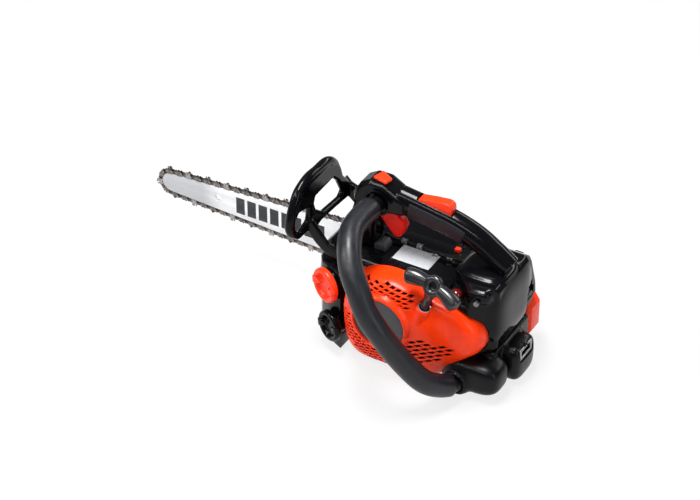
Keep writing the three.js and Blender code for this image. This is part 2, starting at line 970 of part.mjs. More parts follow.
function engineCover() {
  const outline = [
    [caseRear, -deckHalfWidth],
    [deckFront, -deckHalfWidth],
    [deckFront, deckHalfWidth],
    [caseRear, deckHalfWidth],
  ];
  const deck = slab("xy", outline, deckBottom, deckTop, deckEdge);
  const lip = block(
    caseRear + caseWall + clearance,
    caseFront - caseWall - clearance,
    caseRight + caseWall + clearance,
    caseLeft - caseWall - clearance,
    caseTop - lipDepth,
    deckBottom + bite,
  );
  const lipRoom = block(
    caseRear + caseWall * 2,
    caseFront - caseWall * 2,
    caseRight + caseWall * 2,
    caseLeft - caseWall * 2,
    caseTop - overrun,
    deckBottom,
  );
  const seat = block(
    labelRear - clearance,
    labelFront + clearance,
    labelRight - clearance,
    labelLeft + clearance,
    deckTop - labelThickness - clearance,
    deckTop + overrun,
  );
  return cut(joined(deck, cut(lip, lipRoom)), seat);
}

function labelPlate() {
  return block(labelRear, labelFront, labelRight, labelLeft, deckTop - labelThickness, deckTop);
}

// Front cover over the muffler and the cylinder head
const frontShares = [
  [0, 0],
  [0.7, 0],
  [1, 0.22],
  [1, 0.6],
  [0.92, 0.76],
  [0.74, 0.92],
  [0.4, 1],
  [0, 1],
];
const outletHalf = 9;
const outletHigh = 8;

function frontCover() {
  const left = deckFront + clearance;
  const low = sideLow;
  const outline = stretched(frontShares, left, low, frontReach - left, frontHigh - low);
  const body = slab("xz", outline, frontRight, frontLeft, roundEdge);
  const inside = offset(outline, -shellWall);
  const hollow = slab("xz", inside, frontRight + shellWall, frontLeft - shellWall, roundEdge - bite);
  const back = block(
    left - overrun,
    left + shellWall * 2,
    frontRight + shellWall,
    frontLeft - shellWall,
    low + shellWall * 2,
    frontHigh - shellWall * 3,
  );
  const outlet = block(
    mufflerFront,
    frontReach + overrun,
    -outletHalf,
    outletHalf,
    crankHeight - outletHigh * 2,
    crankHeight - outletHigh,
  );
  return cut(body, hollow, back, outlet);
}

// Starter cover: a dome round the crank axis with a tail to the rear, slotted for the fan
const starterShares = [
  [0.33, 0.02],
  [0.44, 0],
  [0.87, 0],
  [0.94, 0.08],
  [0.975, 0.21],
  [0.985, 0.51],
  [0.975, 0.68],
  [0.94, 0.83],
  [0.84, 0.94],
  [0.73, 0.99],
  [0.62, 1],
  [0.49, 0.96],
  [0.37, 0.9],
  [0.24, 0.89],
  [0.12, 0.82],
  [0.04, 0.72],
  [0, 0.58],
  [0.02, 0.46],
  [0.11, 0.35],
  [0.195, 0.23],
  [0.26, 0.105],
];
const slotWidth = 3;
const slotReach = 9;
const slotRowGap = 1.5;
const slotTurn = Math.PI / 5;
// Each field of slots: where it starts and ends round the hub, its slots and its rows
const slotFieldShares = [
  [0.2, 0.38, 6, 2],
  [0.53, 0.6, 3, 4],
  [0.79, 0.99, 7, 1],
];
const outlineStep = 18;
const domeFlat = 35.5;
const tailRim = 45;
const swellShares = [
  [0, 0],
  [0.05, 0.36],
  [0.18, 0.62],
  [0.45, 0.82],
  [1, 1],
];
const swellRoomShares = [
  [0, 0],
  [0.18, 0.58],
  [1, 1],
];
const postGap = 1.5;
const pullLeanShares = [-0.34, 0.11, 1];
const collarShare = 0.72;
const collarX = -45;
const collarY = 56;
const collarLow = starterBase + starterHeight * collarShare;
const collarHeight = 10;
const collarRadius = 9.6;
const collarBore = 7;
const postRadius = 5;
const innerFace = starterFace - shellWall;

function starterOutline() {
  return stretched(starterShares, starterTail, starterBase, starterLength, starterHeight);
}

// A point on the line along which the rope leaves, some rise above the collar's foot
function alongPull(rise) {
  const foot = [collarX, collarY, collarLow];
  return foot.map((part, axis) => part + pullLeanShares[axis] * rise);
}

function domeSlots() {
  const slots = [];
  const firstRow = hubRadius + slotReach / 2 + slotRowGap;
  for (const [fromShare, toShare, count, rows] of slotFieldShares) {
    for (let index = 0; index < count * rows; index += 1) {
      const row = Math.floor(index / count);
      const share = fromShare + ((toShare - fromShare) * (index % count)) / (count - 1);
      const radius = firstRow + row * (slotReach + slotRowGap);
      const slot = new THREE.BoxGeometry(slotReach, overrun * 4, slotWidth);
      slot.rotateY(slotTurn);
      const x = Math.cos(share * 2 * Math.PI) * radius - hubBack;
      const z = Math.sin(share * 2 * Math.PI) * radius + hubHeight;
      slot.translate(x, starterFace - overrun, z);
      slots.push(solidOf(slot));
    }
  }
  return slots;
}

// The swollen side of the cover, from its outline in to the flat round its hub
function starterSwell(inset, shares) {
  const back = starterRoot - overrun * 2;
  const rim = divided(offset(starterOutline(), -inset), outlineStep);
  const flatRadius = domeFlat - inset / 2;
  const rimFace = tailRim - inset;
  const loops = [rim.map(([x, z]) => [x, back, z])];
  for (const [inShare, upShare] of shares) {
    const face = rimFace + upShare * (starterFace - inset - rimFace);
    loops.push(
      rim.map(([x, z]) => {
        const angle = Math.atan2(z - hubHeight, x + hubBack);
        const flatX = flatRadius * Math.cos(angle) - hubBack;
        const flatZ = flatRadius * Math.sin(angle) + hubHeight;
        return [x + (flatX - x) * inShare, face, z + (flatZ - z) * inShare];
      }),
    );
  }
  return loft(loops);
}

function starterCover() {
  const low = starterBase - overrun;
  const high = starterBase + starterHeight + overrun;
  const back = starterRoot - overrun * 3;
  const rear = starterTail - overrun;
  const root = block(rear, starterFront + overrun, back, starterRoot, low, high);
  const hubRim = circle(-hubBack, hubHeight, hubRadius, 24);
  const hub = slab("xz", hubRim, starterFace - overrun, hubFace, softEdge);
  const collarFoot = alongPull(-collarHeight);
  const collar = rod(collarFoot, alongPull(collarHeight), collarRadius * 1.15, 20, collarRadius);
  const postTop = [0, hubFace - shellWall, crankHeight];
  const post = rod(postTop, [0, bladeEnd + postGap, crankHeight], postRadius, 16);
  const badgeRim = circle(-hubBack, hubHeight, badgeRadius + clearance * 2, 24);
  const badgeFloor = hubFace - badgeThickness - clearance;
  const badgeSeat = slab("xz", badgeRim, badgeFloor, hubFace + overrun);
  const collarHole = rod(alongPull(-collarHeight * 2), alongPull(collarHeight * 2), collarBore, 16);
  const outside = joined(starterSwell(0, swellShares), hub, collar);
  const shell = cut(outside, starterSwell(shellWall, swellRoomShares), root, collarHole, badgeSeat);
  return joined(cut(shell, ...domeSlots()), post);
}

function starterBadge() {
  const face = hubFace - badgeThickness;
  return rod([-hubBack, face, hubHeight], [-hubBack, hubFace, hubHeight], badgeRadius, 24);
}

// Pull starter: pulley and spring on the post, bush, rope and the T-shaped handle
const pulleyInner = 55;
const pulleyOuter = 63.8;
const springRadius = 21;
const pulleyFlange = 1.6;
const pulleyGroove = 4;

function starterPulley() {
  const core = pulleyRadius - pulleyGroove;
  const hole = postRadius + clearance;
  const profile = [
    [hole, pulleyInner],
    [pulleyRadius, pulleyInner],
    [pulleyRadius, pulleyInner + pulleyFlange],
    [core, pulleyInner + pulleyFlange],
    [core, pulleyOuter - pulleyFlange],
    [pulleyRadius, pulleyOuter - pulleyFlange],
    [pulleyRadius, pulleyOuter],
    [hole, pulleyOuter],
    [hole, pulleyInner],
  ];
  return turned(profile, 20);
}

function recoilSpring() {
  const from = pulleyOuter + clearance;
  const to = innerFace - clearance;
  const profile = [
    [postRadius + clearance, from],
    [springRadius, from],
    [springRadius, to],
    [postRadius + clearance, to],
    [postRadius + clearance, from],
  ];
  return turned(profile, 16);
}

const ropeRadius = 1.6;
const ropeBush = 2.4;
const stemRadius = 4.4;
const stemStart = collarHeight + clearance * 2;
const pullRise = 45;
const pullBarShares = [-0.965, 0.03, -0.26];
const eyeShares = [0, 1, 0.55];
const pullHalf = 33.5;
const pullRadius = 7.6;

function ropeBushing() {
  const from = alongPull(collarHeight * 0.15);
  const to = alongPull(collarHeight * 0.75);
  const hole = rod(alongPull(-collarHeight), alongPull(collarHeight * 2), ropeBush, 12);
  return cut(rod(from, to, collarBore - clearance, 16), hole);
}

function starterRope() {
  const ropeY = (pulleyInner + pulleyOuter) / 2;
  const points = [
    [-pulleyRadius * 0.67, ropeY, crankHeight + pulleyRadius - pulleyGroove - ropeRadius * 0.6],
    [collarX + ropeRadius * 3, collarY + ropeRadius * 0.6, collarLow - ropeRadius * 3.4],
    alongPull(0),
    alongPull(collarHeight / 2),
    alongPull(collarHeight),
    alongPull((stemStart + pullRise) / 2),
  ];
  return tube(points, ropeRadius, 8, 16);
}

function starterHandle() {
  const middle = new THREE.Vector3(...alongPull(pullRise));
  const pull = new THREE.Vector3(...pullLeanShares).normalize();
  const across = new THREE.Vector3(...pullBarShares).normalize();
  const eyeAxis = new THREE.Vector3(...eyeShares).normalize();
  const on = (axis, distance) => middle.clone().addScaledVector(axis, distance).toArray();
  const half = pullHalf - pullRadius;
  const bar = joined(
    rod(on(across, -half), on(across, half), pullRadius, 10),
    ball(on(across, -half), pullRadius, 10),
    ball(on(across, half), pullRadius, 10),
  );
  const ringRadius = pullRadius * 1.25;
  const ring = rod(on(eyeAxis, -pullRadius * 1.05), on(eyeAxis, pullRadius * 1.05), ringRadius, 14);
  const eye = rod(on(eyeAxis, pullRadius * 0.2), on(eyeAxis, overrun * 2), pullRadius * 0.75, 12);
  const stem = rod(alongPull(stemStart), on(pull, 0), stemRadius, 12);
  const ropeEnd = on(pull, -pullRadius * 0.4);
  const ropeRoom = rod(alongPull(collarHeight), ropeEnd, ropeRadius + clearance * 2, 10);
  return cut(joined(bar, ring, stem), eye, ropeRoom);
}

// Ignition coil beside the flywheel
const coilRear = -68;
const coilFront = -46;
const coilRise = 15;
const coilHeight = 21;
const coilLow = crankHeight + coilRise;
const coilHigh = coilLow + coilHeight;

function ignitionCoil() {
  return block(coilRear, coilFront, caseLeft + clearance, tailRim, coilLow, coilHigh);
}

// Tanks: fuel above and chain oil below, each hollow with a neck in the slanted face
const capYaw = Math.atan2(tankRearDepth - tankFrontDepth, tankFront - tankNose - tankRear);
const neckRise = 1;
const fuelCapX = 69.4;
const capShoulder = 1.6;
const fuelCapZ = tankHigh - fuelCapRadius - capShoulder;
const oilCapX = 62.5;
const oilCapZ = 30;
const tankWall = 3;
const neckDepth = 16;
const tankCorner = (tankFrontDepth - tankInner) * 0.515;
const tankEdge = 1.8;

function tankOutline() {
  return [
    [tankRear, tankInner],
    [tankFront, tankInner],
    [tankFront, tankFrontDepth - tankCorner],
    [tankFront - tankNose, tankFrontDepth],
    [tankRear, tankRearDepth],
  ];
}

function capAxis() {
  return new THREE.Vector3(Math.sin(capYaw), Math.cos(capYaw), 0);
}

// The middle of a neck's rim, just proud of the slanted face
function neckPlace(x, z) {
  const depth = tankRearDepth - (x - tankRear) * Math.tan(capYaw);
  return new THREE.Vector3(x, depth, z).addScaledVector(capAxis(), neckRise);
}

function tankHousing() {
  const body = slab("xy", tankOutline(), tankLow, tankHigh, tankEdge);
  const room = offset(tankOutline(), -tankWall);
  const oil = slab("xy", room, tankLow + tankWall, tankDivide - tankWall / 2, fineEdge);
  const fuel = slab("xy", room, tankDivide + tankWall / 2, tankHigh - tankWall, fineEdge);
  const axis = capAxis();
  let housing = cut(body, oil, fuel);
  const necks = [
    [neckPlace(fuelCapX, fuelCapZ), fuelCapRadius - neckInset],
    [neckPlace(oilCapX, oilCapZ), oilCapRadius - neckInset],
  ];
  for (const [face, neck] of necks) {
    const deep = face.clone().addScaledVector(axis, -neckDepth).toArray();
    const rimStart = face.clone().addScaledVector(axis, -tankWall * 1.6).toArray();
    const far = face.clone().addScaledVector(axis, neckDepth).toArray();
    const rim = rod(rimStart, face.toArray(), neck + tankWall * 0.9, 20);
    housing = cut(housing.add(rim), rod(deep, far, neck, 20));
  }
  return cut(housing, block(0, tankRear, 0, tankRearDepth * 2, 0, tankHigh));
}

// A cap in its own frame: the seat is at zero along Y, the grip is outside
const sealWidth = 2.6;
const sealThickness = 1.8;
const scallopCount = 8;
const scallopRadius = 3.2;
const ridgeHalf = 3.6;
const ridgeHeight = 5;
const ridgeEdge = 1.6;
const capFoot = 1;
const capSlope = 2;

function cap(capRadius) {
  const neckRadius = capRadius - neckInset;
  const base = clearance * 2 + sealThickness;
  const top = base + capThickness - ridgeHeight;
  const plug = neckRadius - clearance * 2;
  const profile = [
    [0, -plugLength],
    [plug, -plugLength],
    [plug, base],
    [capRadius - capFoot, base],
    [capRadius, base + capFoot],
    [capRadius, top - capSlope],
    [capRadius - capSlope, top],
    [0, top],
  ];
  let body = turned(profile, 20);
  for (let index = 0; index < scallopCount; index += 1) {
    const angle = (index * 2 * Math.PI) / scallopCount;
    const x = Math.cos(angle) * (capRadius + scallopRadius * 0.55);
    const z = Math.sin(angle) * (capRadius + scallopRadius * 0.55);
    body = cut(body, rod([x, base - overrun, z], [x, top + overrun, z], scallopRadius, 8));
  }
  const reach = capRadius * 0.86;
  const ridge = slab(
    "xz",
    [
      [-reach, -ridgeHalf],
      [reach, -ridgeHalf],
      [reach, ridgeHalf],
      [-reach, ridgeHalf],
    ],
    top - ridgeHeight,
    top + ridgeHeight,
    ridgeEdge,
  );
  return joined(body, ridge);
}

function capSeal(capRadius) {
  const inner = capRadius - neckInset;
  const outer = inner + sealWidth;
  const from = clearance;
  const to = clearance + sealThickness;
  const profile = [
    [inner, from],
    [outer, from],
    [outer, to],
    [inner, to],
    [inner, from],
  ];
  return turned(profile, 20);
}

function capGroup(middle, spin) {
  const group = new THREE.Group();
  group.position.copy(middle);
  const turn = new THREE.Quaternion().setFromUnitVectors(new THREE.Vector3(0, 1, 0), capAxis());
  const roll = new THREE.Quaternion().setFromAxisAngle(new THREE.Vector3(0, 1, 0), spin);
  group.quaternion.copy(turn.multiply(roll));
  saw.add(group);
  return group;
}

// Top handle: front block and post, grip core and rear base in one moulding
const gripLineRear = -100;
const gripLineFront = 32;
const gripLineLow = handleHeight(0.4286);
const gripLineHigh = handleHeight(0.857);
const gripLineShares = [
  [0, 0, 0],
  [0.11, 0, 0.18],
  [0.23, 0, 0.39],
  [0.38, 0, 0.57],
  [0.55, 0, 0.68],
  [0.71, 0, 0.78],
  [0.86, 0, 0.86],
  [1, 0, 1],
];
const gripRear = -68;
const gripFront = -3;
const blockShares = [
  [0.52, 0],
  [1, 0],
  [0.96, 0.3],
  [0.87, 0.56],
  [0.87, 0.75],
  [0.76, 0.92],
  [0.6, 1],
  [0.38, 1],
  [0.14, 0.88],
  [0, 0.84],
  [0, 0.63],
  [0.1, 0.6],
  [0.42, 0.57],
  [0.5, 0.45],
];
const blockRear = 0;
const blockFront = 73;
const baseShares = [
  [0.05, 0],
  [0.92, 0],
  [0.98, 0.3],
  [1, 0.6],
  [0.98, 0.98],
  [0.75, 0.85],
  [0.42, 0.62],
  [0.14, 0.38],
  [0, 0.14],
];
const baseRear = -112;
const baseFront = -63;
const baseHigh = handleHeight(0.7143);
const baseHalfWidth = 13.5;
const triggerHalf = 5;
const lockoutHalf = 6.5;
const sideClearance = 0.6;
const lockoutFloor = handleHeight(0.7143);
const lockoutRear = -48;
const lockoutFront = -10.5;
const lockoutLow = handleHeight(0.774);
const lockoutHigh = handleHeight(0.976);
const lockoutRoom = 3;
const triggerRoof = handleHeight(0.738);
const triggerRear = 4.5;
const triggerFront = 36;
const triggerLow = handleHeight(0.208);
const triggerHigh = handleHeight(0.655);
const triggerRoomRear = 6;
const triggerRoomFront = 3;
const bossReach = 6;

// A height on the handle, from the deck at 0 to the top of the front block at 1
function handleHeight(share) {
  return deckTop + handleRise * share;
}

function gripLine() {
  const low = [gripLineRear, 0, gripLineLow];
  const high = [gripLineFront, 0, gripLineHigh];
  return spread(gripLineShares, low, high);
}

function triggerPocket() {
  const half = triggerHalf + sideClearance;
  const from = triggerRear - triggerRoomRear;
  return block(from, triggerFront + triggerRoomFront, -half, half, handleBaseBottom, triggerRoof);
}

function lockoutPocket() {
  const half = lockoutHalf + sideClearance;
  const from = lockoutRear - lockoutRoom;
  return block(from, lockoutFront + lockoutRoom, -half, half, lockoutFloor, blockTop);
}

function handleBaseOutline(grow) {
  const width = baseFront - baseRear;
  const height = baseHigh - handleBaseBottom;
  return offset(stretched(baseShares, baseRear, handleBaseBottom, width, height), grow);
}

function topHandle() {
  const low = deckTop + clearance;
  const outline = stretched(blockShares, blockRear, low, blockFront - blockRear, blockTop - low);
  const front = slab("xz", outline, -blockHalfWidth, blockHalfWidth, roundEdge);
  const rear = slab("xz", handleBaseOutline(0), -baseHalfWidth, baseHalfWidth, roundEdge);
  const core = tube(gripLine(), gripCoreRadius, 12, 10);
  const socket = tube(frontTubeLine(), frontTubeRadius + clearance * 2, 10, 22);
  const [bossX, bossY, bossZ] = frontTubeLine()[0];
  const bossStart = [bossX, bossY - blockHalfWidth, bossZ];
  const bossEnd = [bossX, blockHalfWidth + bossReach, bossZ];
  const boss = rod(bossStart, bossEnd, frontTubeRadius + shellWall * 0.8, 20);
  const body = joined(front, rear, core, boss);
  return cut(body, triggerPocket(), lockoutPocket(), socket);
}

function handleGrip() {
  const sleeve = tube(gripLine(), gripRadius, 12, 10, gripCoreRadius + clearance);
  const wide = gripRadius * 2;
  const keep = block(gripRear, gripFront, -wide, wide, handleBaseBottom, blockTop + overrun);
  const rear = slab("xz", handleBaseOutline(clearance), -wide, wide);
  return cut(sleeve.intersect(keep), rear, triggerPocket(), lockoutPocket());
}

const triggerShares = [
  [0.33, 0.76],
  [0.14, 0.63],
  [0, 0.44],
  [0.16, 0.09],
  [0.3, 0],
  [0.46, 0.04],
  [0.75, 0.31],
  [1, 0.55],
  [1, 1],
  [0.33, 1],
];
const triggerEdge = 1.2;

function throttleTrigger() {
  const width = triggerFront - triggerRear;
  const outline = stretched(triggerShares, triggerRear, triggerLow, width, triggerHigh - triggerLow);
  return slab("xz", outline, -triggerHalf, triggerHalf, triggerEdge);
}

const lockoutShares = [
  [0.11, 0],
  [0.88, 0.03],
  [1, 0.24],
  [0.96, 0.53],
  [0.69, 0.76],
  [0.27, 1],
  [0.05, 0.88],
  [0, 0.41],
];
const lockoutEdge = 1.5;

function throttleLockout() {
  const width = lockoutFront - lockoutRear;
  const outline = stretched(lockoutShares, lockoutRear, lockoutLow, width, lockoutHigh - lockoutLow);
  return slab("xz", outline, -lockoutHalf, lockoutHalf, lockoutEdge);
}

const switchShares = [
  [0, 0.47],
  [0.79, 0],
  [1, 0.79],
  [0.11, 1],
];
const switchRear = 22;
const switchRight = -6;
const switchSize = 19;
const switchEdge = 1.2;
const switchHeight = 5;

function stopSwitch() {
  const outline = stretched(switchShares, switchRear, switchRight, switchSize, switchSize);
  return slab("xy", outline, blockTop + clearance * 2, blockTop + switchHeight, switchEdge);
}

// Front handle: one bent tube with a rubber sleeve, from the front block to the rear base

const loopRear = -100;
const loopFront = 35;
const loopInner = 12;
const loopOuter = 119;
const loopLow = 15.4;
const loopHigh = handleHeight(0.726);
const loopShares = [
  [0.99, 0, 0.99],
  [1, 0.22, 1],
  [0.99, 0.49, 0.99],
  [0.92, 0.71, 0.95],
  [0.83, 0.87, 0.87],
  [0.74, 0.95, 0.78],
  [0.65, 1, 0.66],
  [0.55, 1, 0.54],
  [0.45, 0.95, 0.4],
  [0.33, 0.88, 0.25],
  [0.23, 0.79, 0.13],
  [0.16, 0.64, 0.05],
  [0.1, 0.48, 0.01],
  [0.04, 0.32, 0],
  [0, 0.15, 0],
];

function frontTubeLine() {
  return spread(loopShares, [loopRear, loopInner, loopLow], [loopFront, loopOuter, loopHigh]);
}

function frontHandleTube() {
  return tube(frontTubeLine(), frontTubeCore, 10, 22, frontTubeBore);
}

const sleeveStart = 22;
const sleeveEnd = 65;

function frontHandleGrip() {
  const sleeve = tube(frontTubeLine(), frontTubeRadius, 10, 22, frontTubeCore + clearance);
  const nearBlock = block(0, blockFront, -overrun, sleeveStart, handleBaseBottom, blockTop);
  const nearBase = block(rearFace - overrun, caseRear, -overrun, sleeveEnd, -overrun, footHigh);
  return cut(sleeve, nearBlock, nearBase);
}

// Hand guard: a bowed plate with two windows and two arms back to its pins
const guardOutlineShares = [
  [0.03, 0.1],
  [0.31, 0.13],
  [0.5, 0.14],
  [0.58, 0.1],
  [0.66, 0.12],
  [0.7, 0.17],
  [0.87, 0.18],
  [0.94, 0.26],
  [0.99, 0.37],
  [1, 0.48],
  [0.95, 0.7],
  [0.87, 0.88],
  [0.79, 0.95],
  [0.67, 1],
  [0.53, 0.99],
  [0.34, 0.96],
  [0.21, 0.82],
  [0.16, 0.66],
  [0.13, 0.52],
  [0.04, 0.37],
  [0, 0.28],
];
const guardWindowShares = [
  [0.18, 0.22],
  [0.46, 0.25],
  [0.58, 0.4],
  [0.61, 0.52],
  [0.59, 0.6],
  [0.3, 0.62],
  [0.22, 0.5],
  [0.14, 0.27],
];
const guardSideWindowShares = [
  [0.7, 0.33],
  [0.83, 0.27],
  [0.91, 0.36],
  [0.92, 0.49],
  [0.86, 0.58],
  [0.69, 0.52],
];
const guardRight = -46;
const guardLeft = 79;
const guardLow = deckTop + wideEdge;
const guardOver = 3;
const guardTop = blockTop + guardOver;
const guardStand = 98;
const armStand = 4.4;
const armLeftInner = deckHalfWidth + clearance * 2;
const armRight = -deckHalfWidth - armStand;
const armThickness = 6;
const armRadius = 6;
const armDrop = 8;
const armRise = 48;
const armLow = guardPivotZ - armDrop;
const armHigh = armLow + armRise;
const pinHead = 2.4;
const armLeftShares = [
  [0.2, 0.07],
  [0.45, 0.12],
  [0.62, 0.22],
  [0.77, 0.37],
  [0.88, 0.5],
  [0.94, 0.62],
  [1, 0.7],
  [1, 0.98],
  [0.84, 0.9],
  [0.68, 0.68],
  [0.5, 0.44],
  [0.28, 0.34],
];
const armRightShares = [
  [0.22, 0.1],
  [0.52, 0.19],
  [0.76, 0.34],
  [0.94, 0.52],
  [1, 0.64],
  [1, 1.02],
  [0.88, 0.88],
  [0.64, 0.78],
  [0.3, 0.55],
  [0.06, 0.36],
];

function guardOutline(shares) {
  return stretched(shares, guardRight, guardLow, guardLeft - guardRight, guardTop - guardLow);
}

function handGuard() {
  const rim = guardOutline(guardOutlineShares).map((point) => new THREE.Vector2(...point));
  const shape = new THREE.Shape(rim);
  for (const shares of [guardWindowShares, guardSideWindowShares]) {
    const window = guardOutline(shares).map((point) => new THREE.Vector2(...point));
    shape.holes.push(new THREE.Path(window));
  }
  const geometry = new THREE.ExtrudeGeometry(shape, {
    depth: guardThickness - 2 * softEdge,
    bevelEnabled: true,
    bevelThickness: softEdge,
    bevelSize: softEdge,
    bevelOffset: -softEdge,
    bevelSegments: 1,
  });
  geometry.applyMatrix4(new THREE.Matrix4().makeBasis(...planes.yz));
  geometry.translate(guardStand + softEdge, 0, 0);
  const face = solidOf(geometry);
  const reach = guardStand + guardThickness - bite - guardPivotX;
  const rise = armHigh - armLow;
  const round = arc(guardPivotX, guardPivotZ, armRadius, Math.PI * 0.6, Math.PI * 1.6, 8);
  const leftOutline = [...round, ...stretched(armLeftShares, guardPivotX, armLow, reach, rise)];
  const leftArm = slab("xz", leftOutline, armLeftInner, armLeftInner + armThickness, fineEdge);
  const rightOutline = [...round, ...stretched(armRightShares, guardPivotX, armLow, reach, rise)];
  const rightArm = slab("xz", rightOutline, armRight - armThickness, armRight, fineEdge);
  const leftHole = rod(
    [guardPivotX, armLeftInner - overrun, guardPivotZ],
    [guardPivotX, armLeftInner + overrun * 2, guardPivotZ],
    guardPinRadius + clearance,
    16,
  );
  const rightHole = rod(
    [guardPivotX, armRight - overrun * 2, guardPivotZ],
    [guardPivotX, armRight + overrun, guardPivotZ],
    guardPinRadius + clearance,
    16,
  );
  return cut(joined(face, leftArm, rightArm), leftHole, rightHole);
}

function guardPin(side) {
  const from = side * (deckHalfWidth + clearance);
  const leftReach = armLeftInner + armThickness + clearance;
  const rightReach = armRight - armThickness - clearance;
  const reach = side > 0 ? leftReach : rightReach;
  const seat = [guardPivotX, reach, guardPivotZ];
  const end = [guardPivotX, reach + side * pinHead, guardPivotZ];
  return joined(
    rod([guardPivotX, from, guardPivotZ], end, guardPinRadius, 16),
    rod(seat, end, armRadius * 0.85, 20),
  );
}

// Rear cover, rear base and what is on them
const rearShares = [
  [0, 0.2],
  [0.15, 0.19],
  [0.15, 0],
  [0.97, 0],
  [1, 0.1],
  [1, 0.84],
  [0.95, 0.96],
  [0.86, 1],
  [0.22, 0.98],
  [0.13, 0.9],
  [0.02, 0.45],
];
const rearRight = -63;
const rearLeft = 50;
const nicheDrop = 3.5;
const nicheFloor = deckTop - nicheDrop;
const nicheRear = -94;
const nicheRearY = 47;
const nicheFrontY = 10;
const knobRoomHalf = 11;
const knobRoomDepth = 5;
const rearPlanShares = [
  [0, 0],
  [1, 0],
  [1, 1],
  [0.42, 1],
  [0, 0.82],
];

function bulbNiche(grow) {
  const front = caseRear + overrun;
  const far = rearLeft + overrun;
  const plan = [
    [nicheRear, nicheRearY],
    [front, nicheFrontY],
    [front, far],
    [nicheRear, far],
  ];
  return slab("xy", offset(plan, grow), nicheFloor - grow, rearHigh + overrun);
}

function knobNiche(grow) {
  const half = knobRoomHalf + grow;
  return block(
    rearFace - overrun,
    rearFace + knobRoomDepth + grow,
    knobY - half,
    knobY + half,
    knobZ - half,
    knobZ + half,
  );
}

function rearCover() {
  const width = rearLeft - rearRight;
  const front = caseRear - clearance * 2;
  const low = rearLow - overrun;
  const high = rearHigh + overrun;
  const outline = stretched(rearShares, rearRight, rearLow, width, rearHigh - rearLow);
  const plan = stretched(rearPlanShares, rearFace, rearRight, front - rearFace, width);
  const solid = slab("yz", outline, rearFace, front + overrun, wideEdge);
  const body = solid.intersect(slab("xy", plan, low, high, fineEdge));
  const insidePlan = offset(plan, -shellWall);
  const openPlan = insidePlan.map(([x, y], index) => [index === 1 || index === 2 ? x + overrun * 2 : x, y]);
  const hollowFrom = rearFace + shellWall;
  const hollow = slab("yz", offset(outline, -shellWall), hollowFrom, front + overrun * 2, roundEdge);
  const room = hollow.intersect(slab("xy", openPlan, low, high, fineEdge));
  const walled = cut(room, bulbNiche(shellWall), knobNiche(shellWall));
  const starterSide = slab("xz", offset(starterOutline(), clearance), starterRoot - clearance, starterFace);
  const chokeFrom = [chokeX, chokeOuter, chokeZ];
  const chokeTo = [chokeX, chokeOuter + overrun * 2, chokeZ];
  const chokeHole = rod(chokeFrom, chokeTo, chokeShaft + clearance, 12);
  const screwFrom = [screwX, rearLeft + overrun, screwZ];
  const screwTo = [screwX, rearLeft - screwSink, screwZ];
  const screwPocket = rod(screwFrom, screwTo, screwHead + bite, 16);
  return cut(body, walled, bulbNiche(0), knobNiche(0), starterSide, chokeHole, screwPocket);
}

const footLeft = 36;
const footRight = -46;
const lumpRear = -131;
const lumpLeft = 19;
const lumpRight = -26;

const mainShares = [
  [0.14, 0],
  [1, 0],
  [1, 1],
  [0, 1],
  [0, 0.24],
];
const lumpShares = [
  [1, 0],
  [0.39, 0.03],
  [0, 0.26],
  [0, 0.77],
  [0.48, 1],
  [1, 1],
];
const baseLow = 0.6;
const mainEdge = 3;
const lumpInset = 8;
const tabHalf = 2.2;
const tabReach = 3.4;
const fairingWall = 0.8;

function rearBase() {
  const mainFront = caseRear - clearance * 2;
  const mainHeight = footHigh - baseLow;
  const mainOutline = stretched(mainShares, rearFace, baseLow, mainFront - rearFace, mainHeight);
  const main = slab("xz", mainOutline, footRight, footLeft - clearance, mainEdge);
  const lumpFront = rearFace + overrun;
  const lumpLow = baseLow + lumpInset;
  const lumpHigh = footHigh - softEdge;
  const lumpOutline = stretched(lumpShares, lumpRear, lumpLow, lumpFront - lumpRear, lumpHigh - lumpLow);
  const lump = slab("xz", lumpOutline, lumpRight, lumpLeft, roundEdge);
  const tab = block(
    ringX - tabReach,
    lumpRear + overrun,
    ringMiddle - tabHalf,
    ringMiddle + tabHalf,
    ringHigh - tabReach,
    ringHigh + tabReach,
  );
  const tabHole = rod(
    [ringX, ringMiddle - overrun, ringHigh],
    [ringX, ringMiddle + overrun, ringHigh],
    ringWire + clearance * 1.5,
    12,
  );
  const tubeRoom = tube(frontTubeLine(), frontTubeCore + clearance * 2, 10, 22);
  const fairing = tube(frontTubeLine().slice(-4), frontTubeRadius + fairingWall, 12, 4);
  const sleeveRoom = block(
    rearFace,
    caseRear + overrun,
    sleeveEnd - clearance,
    loopOuter,
    -overrun,
    footHigh,
  );
  return cut(joined(main, lump, cut(fairing, sleeveRoom), cut(tab, tabHole)), tubeRoom);
}

const ringX = -134.6;
const ringBelow = 6.7;
const ringHigh = footHigh - ringBelow;
const ringMiddle = -3;
const ringHalf = 12;
const ringDrop = 11;
const ringWire = 1.7;

function lanyardRing() {
  const left = ringMiddle + ringHalf;
  const right = ringMiddle - ringHalf;
  const corners = [
    [ringX, right, ringHigh],
    [ringX, left, ringHigh],
    [ringX, left, ringHigh - ringDrop],
    [ringX, right, ringHigh - ringDrop],
  ];
  const pieces = [];
  corners.forEach((corner, index) => {
    pieces.push(rod(corner, corners[(index + 1) % corners.length], ringWire, 8));
    pieces.push(ball(corner, ringWire, 8));
  });
  return joined(...pieces);
}

const knobRadius = 8;
const knobLength = 6;
const knobY = -40;
const knobRise = 12;
const knobZ = crankHeight + knobRise;
const knobSlot = 1;

function coverKnob() {
  const inner = rearFace + knobRoomDepth - clearance;
  const outer = inner - knobLength;
  const body = rod([inner, knobY, knobZ], [outer, knobY, knobZ], knobRadius, 20);
  const slot = block(
    outer - overrun,
    outer + knobSlot * 2,
    knobY - knobRadius * 2,
    knobY + knobRadius * 2,
    knobZ - knobSlot,
    knobZ + knobSlot,
  );
  return cut(body, slot);
}

